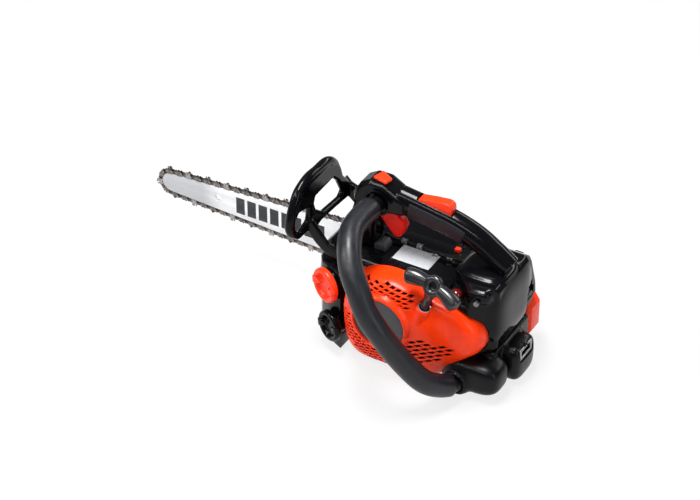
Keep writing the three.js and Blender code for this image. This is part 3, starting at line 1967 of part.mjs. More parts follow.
const chokeX = -93;
const chokeZ = caseTop - bite;
const chokeOuter = -57;
const chokeThickness = 4;
const chokeReach = 9;
const chokeBoss = 6;
const chokeShaft = 3;
const chokeArmShares = [
  [0, 0],
  [1, 0],
  [0.7, 1],
  [-0.3, 1],
];

function chokeLever() {
  const from = chokeOuter - chokeThickness;
  const boss = rod([chokeX, from, chokeZ], [chokeX, chokeOuter, chokeZ], chokeBoss, 16);
  const armRear = chokeX - chokeBoss * 0.8;
  const outline = stretched(chokeArmShares, armRear, chokeZ, chokeReach, chokeReach);
  const arm = slab("xz", outline, from, chokeOuter, fineEdge);
  const shaftEnd = [chokeX, chokeOuter + overrun * 2, chokeZ];
  const shaft = rod([chokeX, chokeOuter - bite, chokeZ], shaftEnd, chokeShaft, 12);
  return joined(boss, arm, shaft);
}

// Purge bulb on its seat beside the rear cover
const bulbX = -74;
const bulbY = 40;
const bulbRadius = 7.6;
const bulbRise = 7.5;
const bulbRim = 1.4;

function purgeBulb() {
  const seat = nicheFloor + clearance;
  const profile = [
    [0, seat],
    [bulbRadius, seat],
    [bulbRadius, seat + bulbRim],
    [bulbRadius * 0.86, seat + bulbRise * 0.5],
    [bulbRadius * 0.5, seat + bulbRise * 0.88],
    [0, seat + bulbRise],
  ];
  return turned(profile, 16, "z");
}

// Throttle cable along the deck, from the front post to the rear cover
const cableRadius = 2.2;
const cableY = -9;
const cableRear = -59.5;
const cableFront = 36.2;
const cableShares = [
  [1, 0, 1],
  [0.89, 0, 0.35],
  [0.73, 0, 0],
  [0.31, 0, 0],
  [0, 0, 0.3],
];

function throttleCable() {
  const low = [cableRear, cableY, deckTop + cableRadius * 1.5];
  const high = [cableFront, cableY, deckTop + cableRadius * 3];
  return tube(spread(cableShares, low, high), cableRadius, 10, 16);
}

// Screws with a round head and a socket
const screwHead = 4.2;
const screwHeight = 2.6;
const screwSink = 2;
const screwX = -101;
const screwZ = deckTop + roundEdge;

function screw(place, direction) {
  const start = new THREE.Vector3(...place);
  const along = new THREE.Vector3(...direction).normalize();
  const end = start.clone().addScaledVector(along, screwHeight);
  const deep = start.clone().addScaledVector(along, screwHeight * 0.4);
  const far = start.clone().addScaledVector(along, screwHeight * 2);
  return cut(
    rod(start.toArray(), end.toArray(), screwHead, 16),
    rod(deep.toArray(), far.toArray(), screwHead * 0.5, 6),
  );
}

// Assembly

place(saw, "crankcase", crankcase(), finish(casting, 0.55, 0.6));
place(crankGroup, "crank_half_right", crankHalf(-1), finish(steel, 0.35, 0.9));
place(crankGroup, "crank_half_left", crankHalf(1), finish(steel, 0.35, 0.9));
place(crankGroup, "flywheel", flywheel(), finish(casting, 0.5, 0.7));
place(cylinderGroup, "connecting_rod", connectingRod(), finish(steel, 0.4, 0.9));
place(cylinderGroup, "piston", piston(), finish(bright, 0.3, 0.8));
place(cylinderGroup, "cylinder", cylinder(), finish(casting, 0.5, 0.7));
place(cylinderGroup, "spark_plug", sparkPlug(), finish(bright, 0.4, 0.5));
place(saw, "muffler", muffler(), finish(steel, 0.5, 0.8));
place(saw, "intake_boot", intakeBoot(), finish(rubber, 0.8, 0));
place(saw, "carburettor", carburettor(), finish(bright, 0.4, 0.8));
place(saw, "air_filter", airFilter(), finish(bright, 0.9, 0));
place(barGroup, "guide_bar", guideBar(), finish(bright, 0.35, 0.85));
place(barGroup, "saw_chain", sawChain(), finish(steel, 0.35, 0.85));
place(saw, "bar_stud", barStud(), finish(steel, 0.4, 0.9));
place(saw, "bar_nut", barNut(), finish(steel, 0.4, 0.9));
place(saw, "chain_catcher", chainCatcher(), finish(gloss, 0.5, 0));
place(crankGroup, "clutch_drum", clutchDrum(), finish(steel, 0.4, 0.9));
place(crankGroup, "clutch_shoes", clutchShoes(), finish(steel, 0.6, 0.7));
place(crankGroup, "brake_band", brakeBand(), finish(steel, 0.4, 0.9));
place(saw, "clutch_cover", clutchCover(), finish(gloss, 0.35, 0));
place(saw, "side_housing", sideHousing(), finish(orange, 0.35, 0));
place(saw, "engine_cover", engineCover(), finish(gloss, 0.3, 0));
place(saw, "label_plate", labelPlate(), finish(0xd8d9dc, 0.5, 0));
place(saw, "front_cover", frontCover(), finish(gloss, 0.35, 0));
place(saw, "starter_cover", starterCover(), finish(orange, 0.3, 0));
place(saw, "starter_badge", starterBadge(), finish(0x43434a, 0.5, 0));
place(crankGroup, "starter_pulley", starterPulley(), finish(satin, 0.5, 0));
place(crankGroup, "recoil_spring", recoilSpring(), finish(steel, 0.4, 0.9));
place(saw, "rope_bushing", ropeBushing(), finish(steel, 0.3, 0.8));
place(saw, "starter_rope", starterRope(), finish(0x2a2a2e, 0.9, 0));
place(saw, "starter_handle", starterHandle(), finish(0x333234, 0.35, 0));
place(saw, "ignition_coil", ignitionCoil(), finish(satin, 0.5, 0));
place(saw, "tank_housing", tankHousing(), finish(gloss, 0.4, 0));
const fuelGroup = capGroup(neckPlace(fuelCapX, fuelCapZ), 0.5);
place(fuelGroup, "fuel_cap", cap(fuelCapRadius), finish(orange, 0.35, 0));
place(fuelGroup, "fuel_cap_seal", capSeal(fuelCapRadius), finish(satin, 0.8, 0));
const oilGroup = capGroup(neckPlace(oilCapX, oilCapZ), -0.3);
place(oilGroup, "oil_cap", cap(oilCapRadius), finish(gloss, 0.4, 0));
place(oilGroup, "oil_cap_seal", capSeal(oilCapRadius), finish(satin, 0.8, 0));
place(saw, "top_handle", topHandle(), finish(gloss, 0.25, 0));
place(saw, "handle_grip", handleGrip(), finish(satin, 0.6, 0));
place(saw, "throttle_trigger", throttleTrigger(), finish(orange, 0.4, 0));
place(saw, "throttle_lockout", throttleLockout(), finish(orange, 0.4, 0));
place(saw, "stop_switch", stopSwitch(), finish(orange, 0.4, 0));
place(saw, "front_handle_tube", frontHandleTube(), finish(steel, 0.4, 0.9));
place(saw, "front_handle_grip", frontHandleGrip(), finish(rubber, 0.55, 0));
place(saw, "hand_guard", handGuard(), finish(gloss, 0.3, 0));
place(saw, "guard_pin_left", guardPin(1), finish(steel, 0.4, 0.9));
place(saw, "guard_pin_right", guardPin(-1), finish(steel, 0.4, 0.9));
place(saw, "rear_cover", rearCover(), finish(gloss, 0.25, 0));
place(saw, "rear_base", rearBase(), finish(gloss, 0.35, 0));
place(saw, "lanyard_ring", lanyardRing(), finish(bright, 0.15, 1));
place(saw, "cover_knob", coverKnob(), finish(satin, 0.4, 0));
place(saw, "choke_lever", chokeLever(), finish(satin, 0.4, 0));
const bulbGroup = new THREE.Group();
bulbGroup.position.set(bulbX, bulbY, 0);
saw.add(bulbGroup);
place(bulbGroup, "purge_bulb", purgeBulb(), finish(0x7a1a14, 0.2, 0));
place(saw, "throttle_cable", throttleCable(), finish(gloss, 0.5, 0));
const screwSeat = [screwX, rearLeft - screwSink + clearance, screwZ];
place(saw, "cover_screw", screw(screwSeat, [0, 1, 0]), finish(bright, 0.3, 0.9));

export default saw;
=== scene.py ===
import json
import math

import bmesh
import bpy
from mathutils import Matrix, Vector

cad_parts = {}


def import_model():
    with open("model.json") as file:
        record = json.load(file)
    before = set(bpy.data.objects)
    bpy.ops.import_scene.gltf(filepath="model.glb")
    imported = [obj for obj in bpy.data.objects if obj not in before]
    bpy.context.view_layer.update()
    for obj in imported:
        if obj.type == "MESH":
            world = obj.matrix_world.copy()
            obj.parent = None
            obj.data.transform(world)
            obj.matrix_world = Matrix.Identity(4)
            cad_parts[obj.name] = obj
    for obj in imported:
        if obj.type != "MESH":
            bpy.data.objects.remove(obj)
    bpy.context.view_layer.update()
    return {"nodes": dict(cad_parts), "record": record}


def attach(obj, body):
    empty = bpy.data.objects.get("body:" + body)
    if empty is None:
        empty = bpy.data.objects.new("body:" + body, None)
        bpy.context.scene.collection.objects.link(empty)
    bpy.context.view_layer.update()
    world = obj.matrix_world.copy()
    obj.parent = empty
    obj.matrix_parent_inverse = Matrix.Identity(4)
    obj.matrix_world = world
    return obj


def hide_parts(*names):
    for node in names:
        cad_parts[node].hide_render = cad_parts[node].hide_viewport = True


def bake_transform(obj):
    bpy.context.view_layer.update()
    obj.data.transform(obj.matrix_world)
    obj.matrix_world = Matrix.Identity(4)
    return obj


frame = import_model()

nodes = frame["nodes"]
body_of_node = {}
for body_name, members in frame["record"]["behaviour"]["bodies"].items():
    for member in members:
        body_of_node[member] = body_name

MM = 0.001


# Colours and materials

def linear(red, green, blue):
    """Turns a colour of 0 to 255 a channel into linear light"""
    out = []
    for value in (red, green, blue):
        share = value / 255
        if share <= 0.04045:
            out.append(share / 12.92)
        else:
            out.append(((share + 0.055) / 1.055) ** 2.4)
    return (*out, 1.0)


def fill(tree, node, inputs):
    """Gives each named input of a node its link or its value"""
    for key, value in inputs.items():
        if isinstance(value, bpy.types.NodeSocket):
            tree.links.new(value, node.inputs[key])
        else:
            node.inputs[key].default_value = value


def added(tree, kind, inputs, **settings):
    node = tree.nodes.new("ShaderNode" + kind)
    for key, value in settings.items():
        setattr(node, key, value)
    fill(tree, node, inputs)
    return node


class Nodes:
    """A short way to write a material's node tree"""

    def __init__(self, name):
        self.material = bpy.data.materials.new(name)
        self.material.use_nodes = True
        self.tree = self.material.node_tree
        self.coords = added(self.tree, "TexCoord", {}).outputs["Object"]

    def noise(self, scale, detail=3.0, rough=0.55, vector=None):
        inputs = {"Vector": vector or self.coords, "Scale": scale, "Detail": detail, "Roughness": rough}
        return added(self.tree, "TexNoise", inputs).outputs["Fac"]

    def cells(self, scale, vector):
        return added(self.tree, "TexVoronoi", {"Vector": vector, "Scale": scale}).outputs["Distance"]

    def span(self, value, low, high, to_low, to_high):
        inputs = {"Value": value, "From Min": low, "From Max": high, "To Min": to_low, "To Max": to_high}
        return added(self.tree, "MapRange", inputs).outputs["Result"]

    def spread(self, noise, to_low, to_high):
        """The range that most of a noise lies in, stretched to another one"""
        return self.span(noise, 0.3, 0.7, to_low, to_high)

    def math(self, operation, first, second=0.0):
        return added(self.tree, "Math", {0: first, 1: second}, operation=operation).outputs[0]

    def mix(self, factor, first, second):
        return added(self.tree, "Mix", {0: factor, 6: first, 7: second}, data_type="RGBA").outputs[2]

    def split(self, vector):
        return added(self.tree, "SeparateXYZ", {0: vector}).outputs

    def stretch(self, scale):
        return added(self.tree, "Mapping", {"Vector": self.coords, "Scale": scale}).outputs[0]

    def bump(self, height, strength, distance, below=None):
        inputs = {"Height": height, "Strength": strength, "Distance": distance}
        if below is not None:
            inputs["Normal"] = below
        return added(self.tree, "Bump", inputs).outputs["Normal"]

    def edges(self, low, high):
        pointiness = added(self.tree, "NewGeometry", {}).outputs["Pointiness"]
        return self.span(pointiness, low, high, 0.0, 1.0)

    def set(self, **values):
        names = {"colour": "Base Color", "rough": "Roughness", "metal": "Metallic", "normal": "Normal",
                 "coat": "Coat Weight", "coat_rough": "Coat Roughness", "specular": "Specular IOR Level"}
        inputs = {names[key]: value for key, value in values.items()}
        fill(self.tree, self.tree.nodes["Principled BSDF"], inputs)
        return self.material


def shade(colour, factor):
    return (*[min(1.0, part * factor) for part in colour[:3]], 1.0)


# Scales of the noises, in waves to a metre, and how far the gloss and worn edges change
TONE_SCALE, METAL_SCALE, GLOSS_SCALE, RUB_SCALE, SINK_SCALE, STAIN_SCALE = 28, 60, 90, 300, 45, 170
GLOSS_CHANGE = 0.25
WORN_PALER = 0.12
EDGE_FROM, EDGE_TO = 0.53, 0.6
SINK_DEPTH = 0.0006


def plastic(name, colour, rough, grain=1400, depth=0.00002, specular=0.5, tint=0.12, worn=0.0, coat=0.0):
    """Moulded plastic: a slight change of tone, uneven gloss, fine grain and paler edges"""
    tree = Nodes(name)
    tone = tree.spread(tree.noise(TONE_SCALE, 4), 0, 1)
    base = tree.mix(tone, shade(colour, 1 - tint), shade(colour, 1 + tint))
    if worn:
        patches = tree.span(tree.noise(RUB_SCALE), 0.4, 0.7, 0, 1)
        rub = tree.math("MULTIPLY", tree.edges(EDGE_FROM, EDGE_TO), patches)
        pale = shade([part + WORN_PALER for part in colour[:3]], 1)
        base = tree.mix(tree.math("MULTIPLY", rub, worn), base, pale)
    gloss = tree.spread(tree.noise(GLOSS_SCALE, 5), rough * (1 - GLOSS_CHANGE), rough * (1 + GLOSS_CHANGE))
    fine = tree.bump(tree.noise(grain, 2), 0.5, depth)
    normal = tree.bump(tree.noise(SINK_SCALE, 2), 0.12, SINK_DEPTH, fine)
    return tree.set(colour=base, rough=gloss, normal=normal, specular=specular, coat=coat,
                    coat_rough=0.06)


def metal(name, colour, rough, depth=0.00002, tint=0.12, stain=None, grain=900):
    """Steel or alloy, with an uneven tone and any stains"""
    tree = Nodes(name)
    tone = tree.spread(tree.noise(METAL_SCALE, 5), 0, 1)
    base = tree.mix(tone, shade(colour, 1 - tint), shade(colour, 1 + tint))
    if stain:
        spots = tree.span(tree.noise(STAIN_SCALE, 5, 0.7), 0.48, 0.68, 0, 0.85)
        base = tree.mix(spots, base, stain)
    lines = tree.noise(grain, 3)
    gloss = tree.spread(lines, rough * 0.75, rough * 1.3)
    return tree.set(colour=base, rough=gloss, normal=tree.bump(lines, 0.4, depth), metal=1.0)


BLACK = linear(9, 9, 12)

orange = plastic("orange_moulding", linear(255, 58, 8), 0.28, tint=0.04, depth=0.000008, worn=0.1, specular=0.22)
cap_orange = plastic("cap_moulding", linear(255, 54, 16), 0.3, tint=0.05, depth=0.00001, specular=0.3)
trigger_red = plastic("trigger_moulding", linear(236, 22, 6), 0.3, tint=0.08, depth=0.00001,
                      specular=0.15)
black = plastic("black_gloss_moulding", BLACK, 0.15, tint=0.25, depth=0.00001, specular=0.16, worn=0.08)
black_soft = plastic("black_satin_moulding", BLACK, 0.32, tint=0.25, depth=0.00002, specular=0.18)
pull_skin = plastic("pull_handle_moulding", linear(34, 33, 36), 0.24, tint=0.1, depth=0.00001)
grip_skin = plastic("grip_grain", linear(26, 25, 31), 0.5, grain=2600, depth=0.00006, specular=0.3, tint=0.1)
tube_skin = plastic("tube_rubber", linear(24, 25, 30), 0.4, grain=2200, depth=0.00003, specular=0.4, tint=0.08)
badge_skin = plastic("badge_plate", linear(58, 58, 63), 0.45, grain=1800, depth=0.00002, tint=0.05)
label_skin = plastic("plain_label", linear(205, 208, 212), 0.3, tint=0.03, depth=0.000005)
bulb_skin = plastic("bulb_red", linear(96, 12, 12), 0.12, tint=0.15, depth=0.000004, coat=0.6)
# painted shade: the near-black skin of the sheet behind the vents, standing in for the shade inside the cover
painted_shade_skin = plastic("painted_shade_inside", linear(9, 8, 9), 0.7, tint=0.2, specular=0.15)
seal_skin = plastic("seal_rubber", linear(24, 24, 26), 0.55, tint=0.1)
felt_skin = plastic("filter_felt_skin", linear(190, 188, 180), 0.85, grain=900, depth=0.0003, tint=0.1)

cast = metal("cast_alloy_skin", linear(120, 121, 124), 0.5, depth=0.0001)
steel = metal("machined_steel", linear(150, 149, 150), 0.32)
plated = metal("plated_steel", linear(215, 216, 220), 0.14, depth=0.000008, tint=0.05)
link_steel = metal("chain_links_steel", linear(126, 116, 110), 0.34, depth=0.00004, tint=0.3,
                   stain=linear(54, 47, 44), grain=1500)
drive_steel = metal("chain_drive_steel", linear(96, 90, 88), 0.36, depth=0.00004, tint=0.3,
                    stain=linear(44, 39, 38), grain=1500)
cutter_steel = metal("chain_cutter_steel", linear(168, 163, 160), 0.24, depth=0.00002, tint=0.2,
                     stain=linear(88, 78, 72), grain=1500)


# The bar, in metres: where a painted reflection darkens its nose, and the plain upright blocks along its middle
NOSE_SHADE_FROM, NOSE_SHADE_TO = 0.262, 0.285
BLOCKS_REAR, BLOCK_PITCH, BLOCK_COUNT, BLOCK_SHARE = 0.128, 0.0146, 8, 0.76
BLOCKS_LEVEL, BLOCK_HALF = 0.0662, 0.0105


def bar_material():
    """Ground bar with a painted reflection that darkens its nose, and a row of plain upright blocks"""
    tree = Nodes("bar_ground_steel")
    x, _, z = tree.split(tree.coords)
    tone = tree.spread(tree.noise(25, 4), 0, 1)
    base = tree.mix(tone, linear(232, 233, 235), linear(245, 246, 247))
    # painted reflection: the nose is mixed to a darker grey, standing in for how the light falls off there
    base = tree.mix(tree.span(x, NOSE_SHADE_FROM, NOSE_SHADE_TO, 0, 1), base, linear(196, 197, 200))
    beat = tree.math("FRACT", tree.math("DIVIDE", tree.math("SUBTRACT", x, BLOCKS_REAR), BLOCK_PITCH))
    after = tree.math("GREATER_THAN", x, BLOCKS_REAR)
    before = tree.math("LESS_THAN", x, BLOCKS_REAR + BLOCK_PITCH * BLOCK_COUNT)
    off_middle = tree.math("ABSOLUTE", tree.math("SUBTRACT", z, BLOCKS_LEVEL))
    mask = tree.math("MULTIPLY", after, before)
    mask = tree.math("MULTIPLY", tree.math("LESS_THAN", beat, BLOCK_SHARE), mask)
    mask = tree.math("MULTIPLY", mask, tree.math("LESS_THAN", off_middle, BLOCK_HALF))
    base = tree.mix(mask, base, linear(34, 36, 40))
    lines = tree.noise(1.0, 3, vector=tree.stretch((30, 900, 900)))
    bare = tree.math("SUBTRACT", 1.0, mask)
    return tree.set(colour=base, rough=tree.spread(lines, 0.34, 0.5), normal=tree.bump(lines, 0.3, 0.00001),
                    metal=tree.math("MULTIPLY", bare, 0.45))


bar_steel = bar_material()


def rope_material():
    tree = Nodes("braided_rope")
    wave = tree.cells(900, tree.stretch((1, 1, 0.6)))
    base = tree.mix(tree.span(wave, 0.0, 0.6, 0, 1), linear(20, 20, 22), linear(60, 60, 64))
    return tree.set(colour=base, rough=0.85, normal=tree.bump(wave, 0.8, 0.0003))


rope_skin = rope_material()


# Mesh helpers: a part is a list of points in millimetres and a list of faces

WELD = 0.000001


def placed(name, data):
    thing = bpy.data.objects.new(name, data)
    bpy.context.scene.collection.objects.link(thing)
    return thing


def dress(name, mesh, body, material, slot, smooth):
    thing = placed(name, mesh)
    mesh.materials.clear()
    mesh.materials.append(material)
    soften_shading(mesh, smooth)
    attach(thing, body)
    return thing


def mesh_of(name, part):
    verts, faces = part
    mesh = bpy.data.meshes.new(name)
    mesh.from_pydata([Vector(v) * MM for v in verts], [], faces)
    return mesh


def piece(name, part, body, material, slot, smooth):
    """A part as a piece that rides a body"""
    mesh = mesh_of(name, part)
    mesh.validate()
    thing = dress(name, mesh, body, material, slot, smooth)
    out_facing(mesh)
    return thing


def soften_shading(mesh, angle):
    mesh.polygons.foreach_set("use_smooth", [True] * len(mesh.polygons))
    mesh.set_sharp_from_angle(angle=math.radians(angle))
    mesh.update()


def out_facing(mesh):
    """Welds a mesh and turns its faces outwards"""
    work = bmesh.new()
    work.from_mesh(mesh)
    bmesh.ops.remove_doubles(work, verts=work.verts, dist=WELD)
    bmesh.ops.recalc_face_normals(work, faces=work.faces)
    work.to_mesh(mesh)
    work.free()
    mesh.update()


def baked(thing):
    """Applies the modifiers of a piece to its mesh"""
    bpy.context.view_layer.update()
    graph = bpy.context.evaluated_depsgraph_get()
    mesh = bpy.data.meshes.new_from_object(thing.evaluated_get(graph))
    thing.modifiers.clear()
    old = thing.data
    thing.data = mesh
    bpy.data.meshes.remove(old)
    return thing


def bevelled(thing, width, segments, angle, miter="MITER_SHARP"):
    """Rounds the edges that are sharper than an angle in degrees"""
    edge = thing.modifiers.new("bevel", "BEVEL")
    edge.width = width * MM
    edge.segments = segments
    edge.limit_method = "ANGLE"
    edge.angle_limit = math.radians(angle)
    edge.miter_outer = miter
    return baked(thing)


def skinned(thing, voxel, rounds):
    """Turns a piece into one smooth skin"""
    net = thing.modifiers.new("net", "REMESH")
    net.mode = "VOXEL"
    net.voxel_size = voxel * MM
    ease = thing.modifiers.new("ease", "SMOOTH")
    ease.factor = 0.5
    ease.iterations = rounds
    return baked(thing)


def carve(thing, parts):
    """Cuts closed parts out of a piece, one after another"""
    for part in parts:
        mesh = mesh_of("cutter", part)
        out_facing(mesh)
        tool = placed("cutter", mesh)
        cut = thing.modifiers.new("cut", "BOOLEAN")
        cut.operation = "DIFFERENCE"
        cut.object = tool
        cut.solver = "EXACT"
        baked(thing)
        bpy.data.objects.remove(tool)


def cad_mesh(node, join=True):
    """The node's form as a new mesh, welded, with its flat faces whole, or else its pairs of triangles"""
    mesh = bmesh.new()
    mesh.from_mesh(nodes[node].data)
    bmesh.ops.remove_doubles(mesh, verts=mesh.verts, dist=2 * WELD)
    if join:
        bmesh.ops.dissolve_limit(mesh, angle_limit=math.radians(0.6), verts=mesh.verts, edges=mesh.edges)
    else:
        bmesh.ops.join_triangles(mesh, faces=mesh.faces, angle_face_threshold=math.radians(25),
                                 angle_shape_threshold=math.radians(60))
    made = bpy.data.meshes.new("form_" + node)
    clean = [tuple(v.co) for v in mesh.verts]
    mesh.verts.index_update()
    loops = [[v.index for v in face.verts] for face in mesh.faces]
    mesh.free()
    made.from_pydata(clean, [], loops)
    made.validate()
    return made


def softened(node, material, slot, width, segments):
    """The CAD form with rounded edges"""
    thing = dress("soft_" + node, cad_mesh(node), body_of_node[node], material, slot, 40)
    bevelled(thing, width, segments, 28, "MITER_ARC")
    soften_shading(thing.data, 40)
    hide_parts(node)


def fused(node, material, slot, voxel, rounds, more=(), less=(), cut=()):
    """The CAD form, less some parts and with more, as one smooth skin, which is then cut"""
    mesh = cad_mesh(node)
    if less:
        rough = placed("rough_" + node, mesh)
        carve(rough, less)
        mesh = rough.data.copy()
        bpy.data.objects.remove(rough)
    if more:
        verts, faces = merged(more)
        work = bmesh.new()
        work.from_mesh(mesh)
        made = [work.verts.new(v * MM) for v in verts]
        for face in faces:
            work.faces.new([made[index] for index in face])
        bmesh.ops.recalc_face_normals(work, faces=work.faces)
        work.to_mesh(mesh)
        work.free()
    thing = dress("skin_" + node, mesh, body_of_node[node], material, slot, 180)
    skinned(thing, voxel, rounds)
    carve(thing, cut)
    soften_shading(thing.data, 45 if cut else 180)
    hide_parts(node)


def rounded_piece(name, part, body, material, slot, bevel, segments, angle, smooth):
    """A new piece with its edges rounded"""
    thing = piece(name, part, body, material, slot, smooth)
    bevelled(thing, bevel, segments, angle)
    soften_shading(thing.data, smooth)
    return thing


def curve_points(points, steps):
    """A smooth line through the points, as a centripetal Catmull-Rom spline"""
    rows = [Vector(p) for p in points]
    ends = [rows[0] * 2 - rows[1], *rows, rows[-1] * 2 - rows[-2]]
    out = []
    for index in range(len(rows) - 1):
        a, b, c, d = ends[index:index + 4]
        t1 = max((b - a).length, 1e-9) ** 0.5
        t2 = t1 + max((c - b).length, 1e-9) ** 0.5
        t3 = t2 + max((d - c).length, 1e-9) ** 0.5
        count = steps if index < len(rows) - 2 else steps + 1
        for step in range(count):
            t = t1 + (t2 - t1) * step / steps
            ab = a.lerp(b, t / t1)
            bc = b.lerp(c, (t - t1) / (t2 - t1))
            cd = c.lerp(d, (t - t2) / (t3 - t2))
            abc = ab.lerp(bc, t / t2)
            bcd = bc.lerp(cd, (t - t1) / (t3 - t1))
            out.append(abc.lerp(bcd, (t - t1) / (t2 - t1)))
    return out


def ring_faces(rows, count, shift=0):
    """The faces between rows of points, each row a closed ring"""
    faces = []
    for row in range(rows - 1):
        for index in range(count):
            a = shift + row * count + index
            b = shift + row * count + (index + 1) % count
            faces.append((a, b, b + count, a + count))
    return faces


def end_faces(rows, count):
    return [tuple(reversed(range(count))), tuple(range((rows - 1) * count, rows * count))]


def prism(near, far):
    """A closed part between two outlines"""
    count = len(near)
    return near + far, end_faces(2, count) + ring_faces(2, count)


def box_part(low, high):
    """A box between two corners"""
    corners = [(low[0], low[1]), (high[0], low[1]), (high[0], high[1]), (low[0], high[1])]
    return prism([Vector((x, y, low[2])) for x, y in corners], [Vector((x, y, high[2])) for x, y in corners])


def side_part(outline, right, left):
    """A plate with its outline seen from the side, between two widths"""
    return prism([Vector((x, right, z)) for x, z in outline], [Vector((x, left, z)) for x, z in outline])


def swept(points, radius, sides=24, caps=True):
    """Rings along a line; radius is a number or one number for each point"""
    line = [Vector(p) for p in points]
    verts = []
    side = None
    for index, place in enumerate(line):
        ahead = line[min(index + 1, len(line) - 1)] - line[max(index - 1, 0)]
        ahead.normalize()
        if side is None:
            side = ahead.orthogonal().normalized()
        side = (side - ahead * side.dot(ahead)).normalized()
        up = ahead.cross(side)
        size = radius[index] if hasattr(radius, "__len__") else radius
        for turn in range(sides):
            angle = 2 * math.pi * turn / sides
            verts.append(place + (side * math.cos(angle) + up * math.sin(angle)) * size)
    return verts, ring_faces(len(line), sides) + (end_faces(len(line), sides) if caps else [])


def swept_outline(points, outline):
    """A closed outline of (left, up) points carried along a line that lies in the middle plane"""
    line = [Vector(p) for p in points]
    left = Vector((0, 1, 0))
    verts = []
    for index, place in enumerate(line):
        ahead = (line[min(index + 1, len(line) - 1)] - line[max(index - 1, 0)]).normalized()
        up = ahead.cross(left)
        if up.z < 0:
            up = -up
        verts.extend([place + left * a + up * b for a, b in outline])
    return verts, ring_faces(len(line), len(outline)) + end_faces(len(line), len(outline))


def lathe(profile, centre, axis, sides=48):
    """Turns (radius, rise) points round an axis through a centre"""
    way = Vector(axis).normalized()
    side = way.orthogonal().normalized()
    up = way.cross(side)
    verts, faces = [], []
    count = len(profile)
    for turn in range(sides):
        angle = 2 * math.pi * turn / sides
        spoke = side * math.cos(angle) + up * math.sin(angle)
        for radius, rise in profile:
            verts.append(Vector(centre) + spoke * radius + way * rise)
    for turn in range(sides):
        for index in range(count - 1):
            a = turn * count + index
            b = ((turn + 1) % sides) * count + index
            faces.append((a, b, b + 1, a + 1))
    return verts, faces


def pillow(centre, half, power, rows=24, columns=48):
    """A box with round corners: the lower the power, the boxier"""
    def bent(value):
        return math.copysign(abs(value) ** power, value)

    centre, rise_half = Vector(centre), Vector((0, 0, half[2]))
    verts = [centre - rise_half]
    for row in range(1, rows):
        rise = -math.pi / 2 + math.pi * row / rows
        for column in range(columns):
            turn = 2 * math.pi * column / columns
            verts.append(centre + Vector((half[0] * bent(math.cos(rise)) * bent(math.cos(turn)),
                                          half[1] * bent(math.cos(rise)) * bent(math.sin(turn)),
                                          half[2] * bent(math.sin(rise)))))
    verts.append(centre + rise_half)
    faces = []
    top = 1 + (rows - 2) * columns
    for column in range(columns):
        after = (column + 1) % columns
        faces.append((0, 1 + after, 1 + column))
        for row in range(rows - 2):
            a, b = 1 + row * columns + column, 1 + row * columns + after
            faces.append((a, b, b + columns, a + columns))
        faces.append((top + column, top + after, len(verts) - 1))
    return verts, faces


def merged(parts):
    verts, faces = [], []
    for some_verts, some_faces in parts:
        base = len(verts)
        verts.extend(some_verts)
        faces.extend([tuple(base + index for index in face) for face in some_faces])
    return verts, faces


# Saw chain: the line that its rivets follow round the bar and the sprocket

CRANK = 61.0
BAR_HEIGHT = 66.6
BAR_MIDDLE = -40.0
BAR_TAIL, BAR_REACH = 27.0, 339.0
BAR_HALF, NOSE = 23.0, 11.4
RIVET_LIFT, PITCH, SPROCKET = 3.6, 12.7, 17.0
CHAIN_LEAVES = 47
NOSE_TURN, NOSE_STEPS, WHEEL_STEPS = math.pi * 0.46, 24, 16
BAR_SHARES = [(0, 0.5), (0.025, 0.77), (0.07, 0.94), (0.14, 1), (0.25, 0.98), (0.47, 0.84),
              (0.67, 0.69), (0.94, 0.52)]


def grown(outline, distance):
    """Moves each point of a closed outline outwards along its corner"""
    out = []
    count = len(outline)
    area = sum(outline[i][0] * outline[(i + 1) % count][1] - outline[(i + 1) % count][0] * outline[i][1]
               for i in range(count))
    sign = 1 if area > 0 else -1
    for index in range(count):
        before = Vector(outline[index - 1])
        here = Vector(outline[index])
        after = Vector(outline[(index + 1) % count])
        first = (here - before).normalized()
        second = (after - here).normalized()
        n1 = Vector((first.y, -first.x)) * sign
        n2 = Vector((second.y, -second.x)) * sign
        way = (n1 + n2).normalized()
        share = max(0.5, way.dot(n1))
        out.append(here + way * distance / share)
    return out


def chain_stations():
    """The chain's rivets, seen from the side, from the middle of the bar"""
    length = BAR_REACH - BAR_TAIL
    upper = [(BAR_TAIL + a * length, up * BAR_HALF) for a, up in BAR_SHARES]
    lower = [(x, -z) for x, z in upper]
    nose_x = BAR_REACH - NOSE
    angles = [NOSE_TURN * (2 * i / NOSE_STEPS - 1) for i in range(NOSE_STEPS + 1)]
    nose = [(nose_x + NOSE * math.cos(angle), NOSE * math.sin(angle)) for angle in angles]
    around = [p for p in grown([*lower, *nose, *reversed(upper)], RIVET_LIFT) if p[0] > CHAIN_LEAVES]
    drop = CRANK - BAR_HEIGHT
    upper_lead = math.atan2(around[-1][1] - drop - SPROCKET, around[-1][0])
    lower_lead = math.atan2(drop - around[0][1] - SPROCKET, around[0][0])
    start = math.pi / 2 + upper_lead
    end = math.pi * 1.5 - lower_lead
    angles = [start + (end - start) * i / WHEEL_STEPS for i in range(WHEEL_STEPS + 1)]
    wheel = [Vector((SPROCKET * math.cos(angle), drop + SPROCKET * math.sin(angle))) for angle in angles]
    line = [*around, *wheel]
    line.append(line[0])
    lengths = [0.0]
    for index in range(1, len(line)):
        lengths.append(lengths[-1] + (line[index] - line[index - 1]).length)
    count = round(lengths[-1] / (2 * PITCH)) * 4
    stations, at = [], 1
    for index in range(count):
        target = lengths[-1] * index / count
        while lengths[at] < target:
            at += 1
        share = (target - lengths[at - 1]) / (lengths[at] - lengths[at - 1])
        stations.append(line[at - 1].lerp(line[at], share))
    return stations


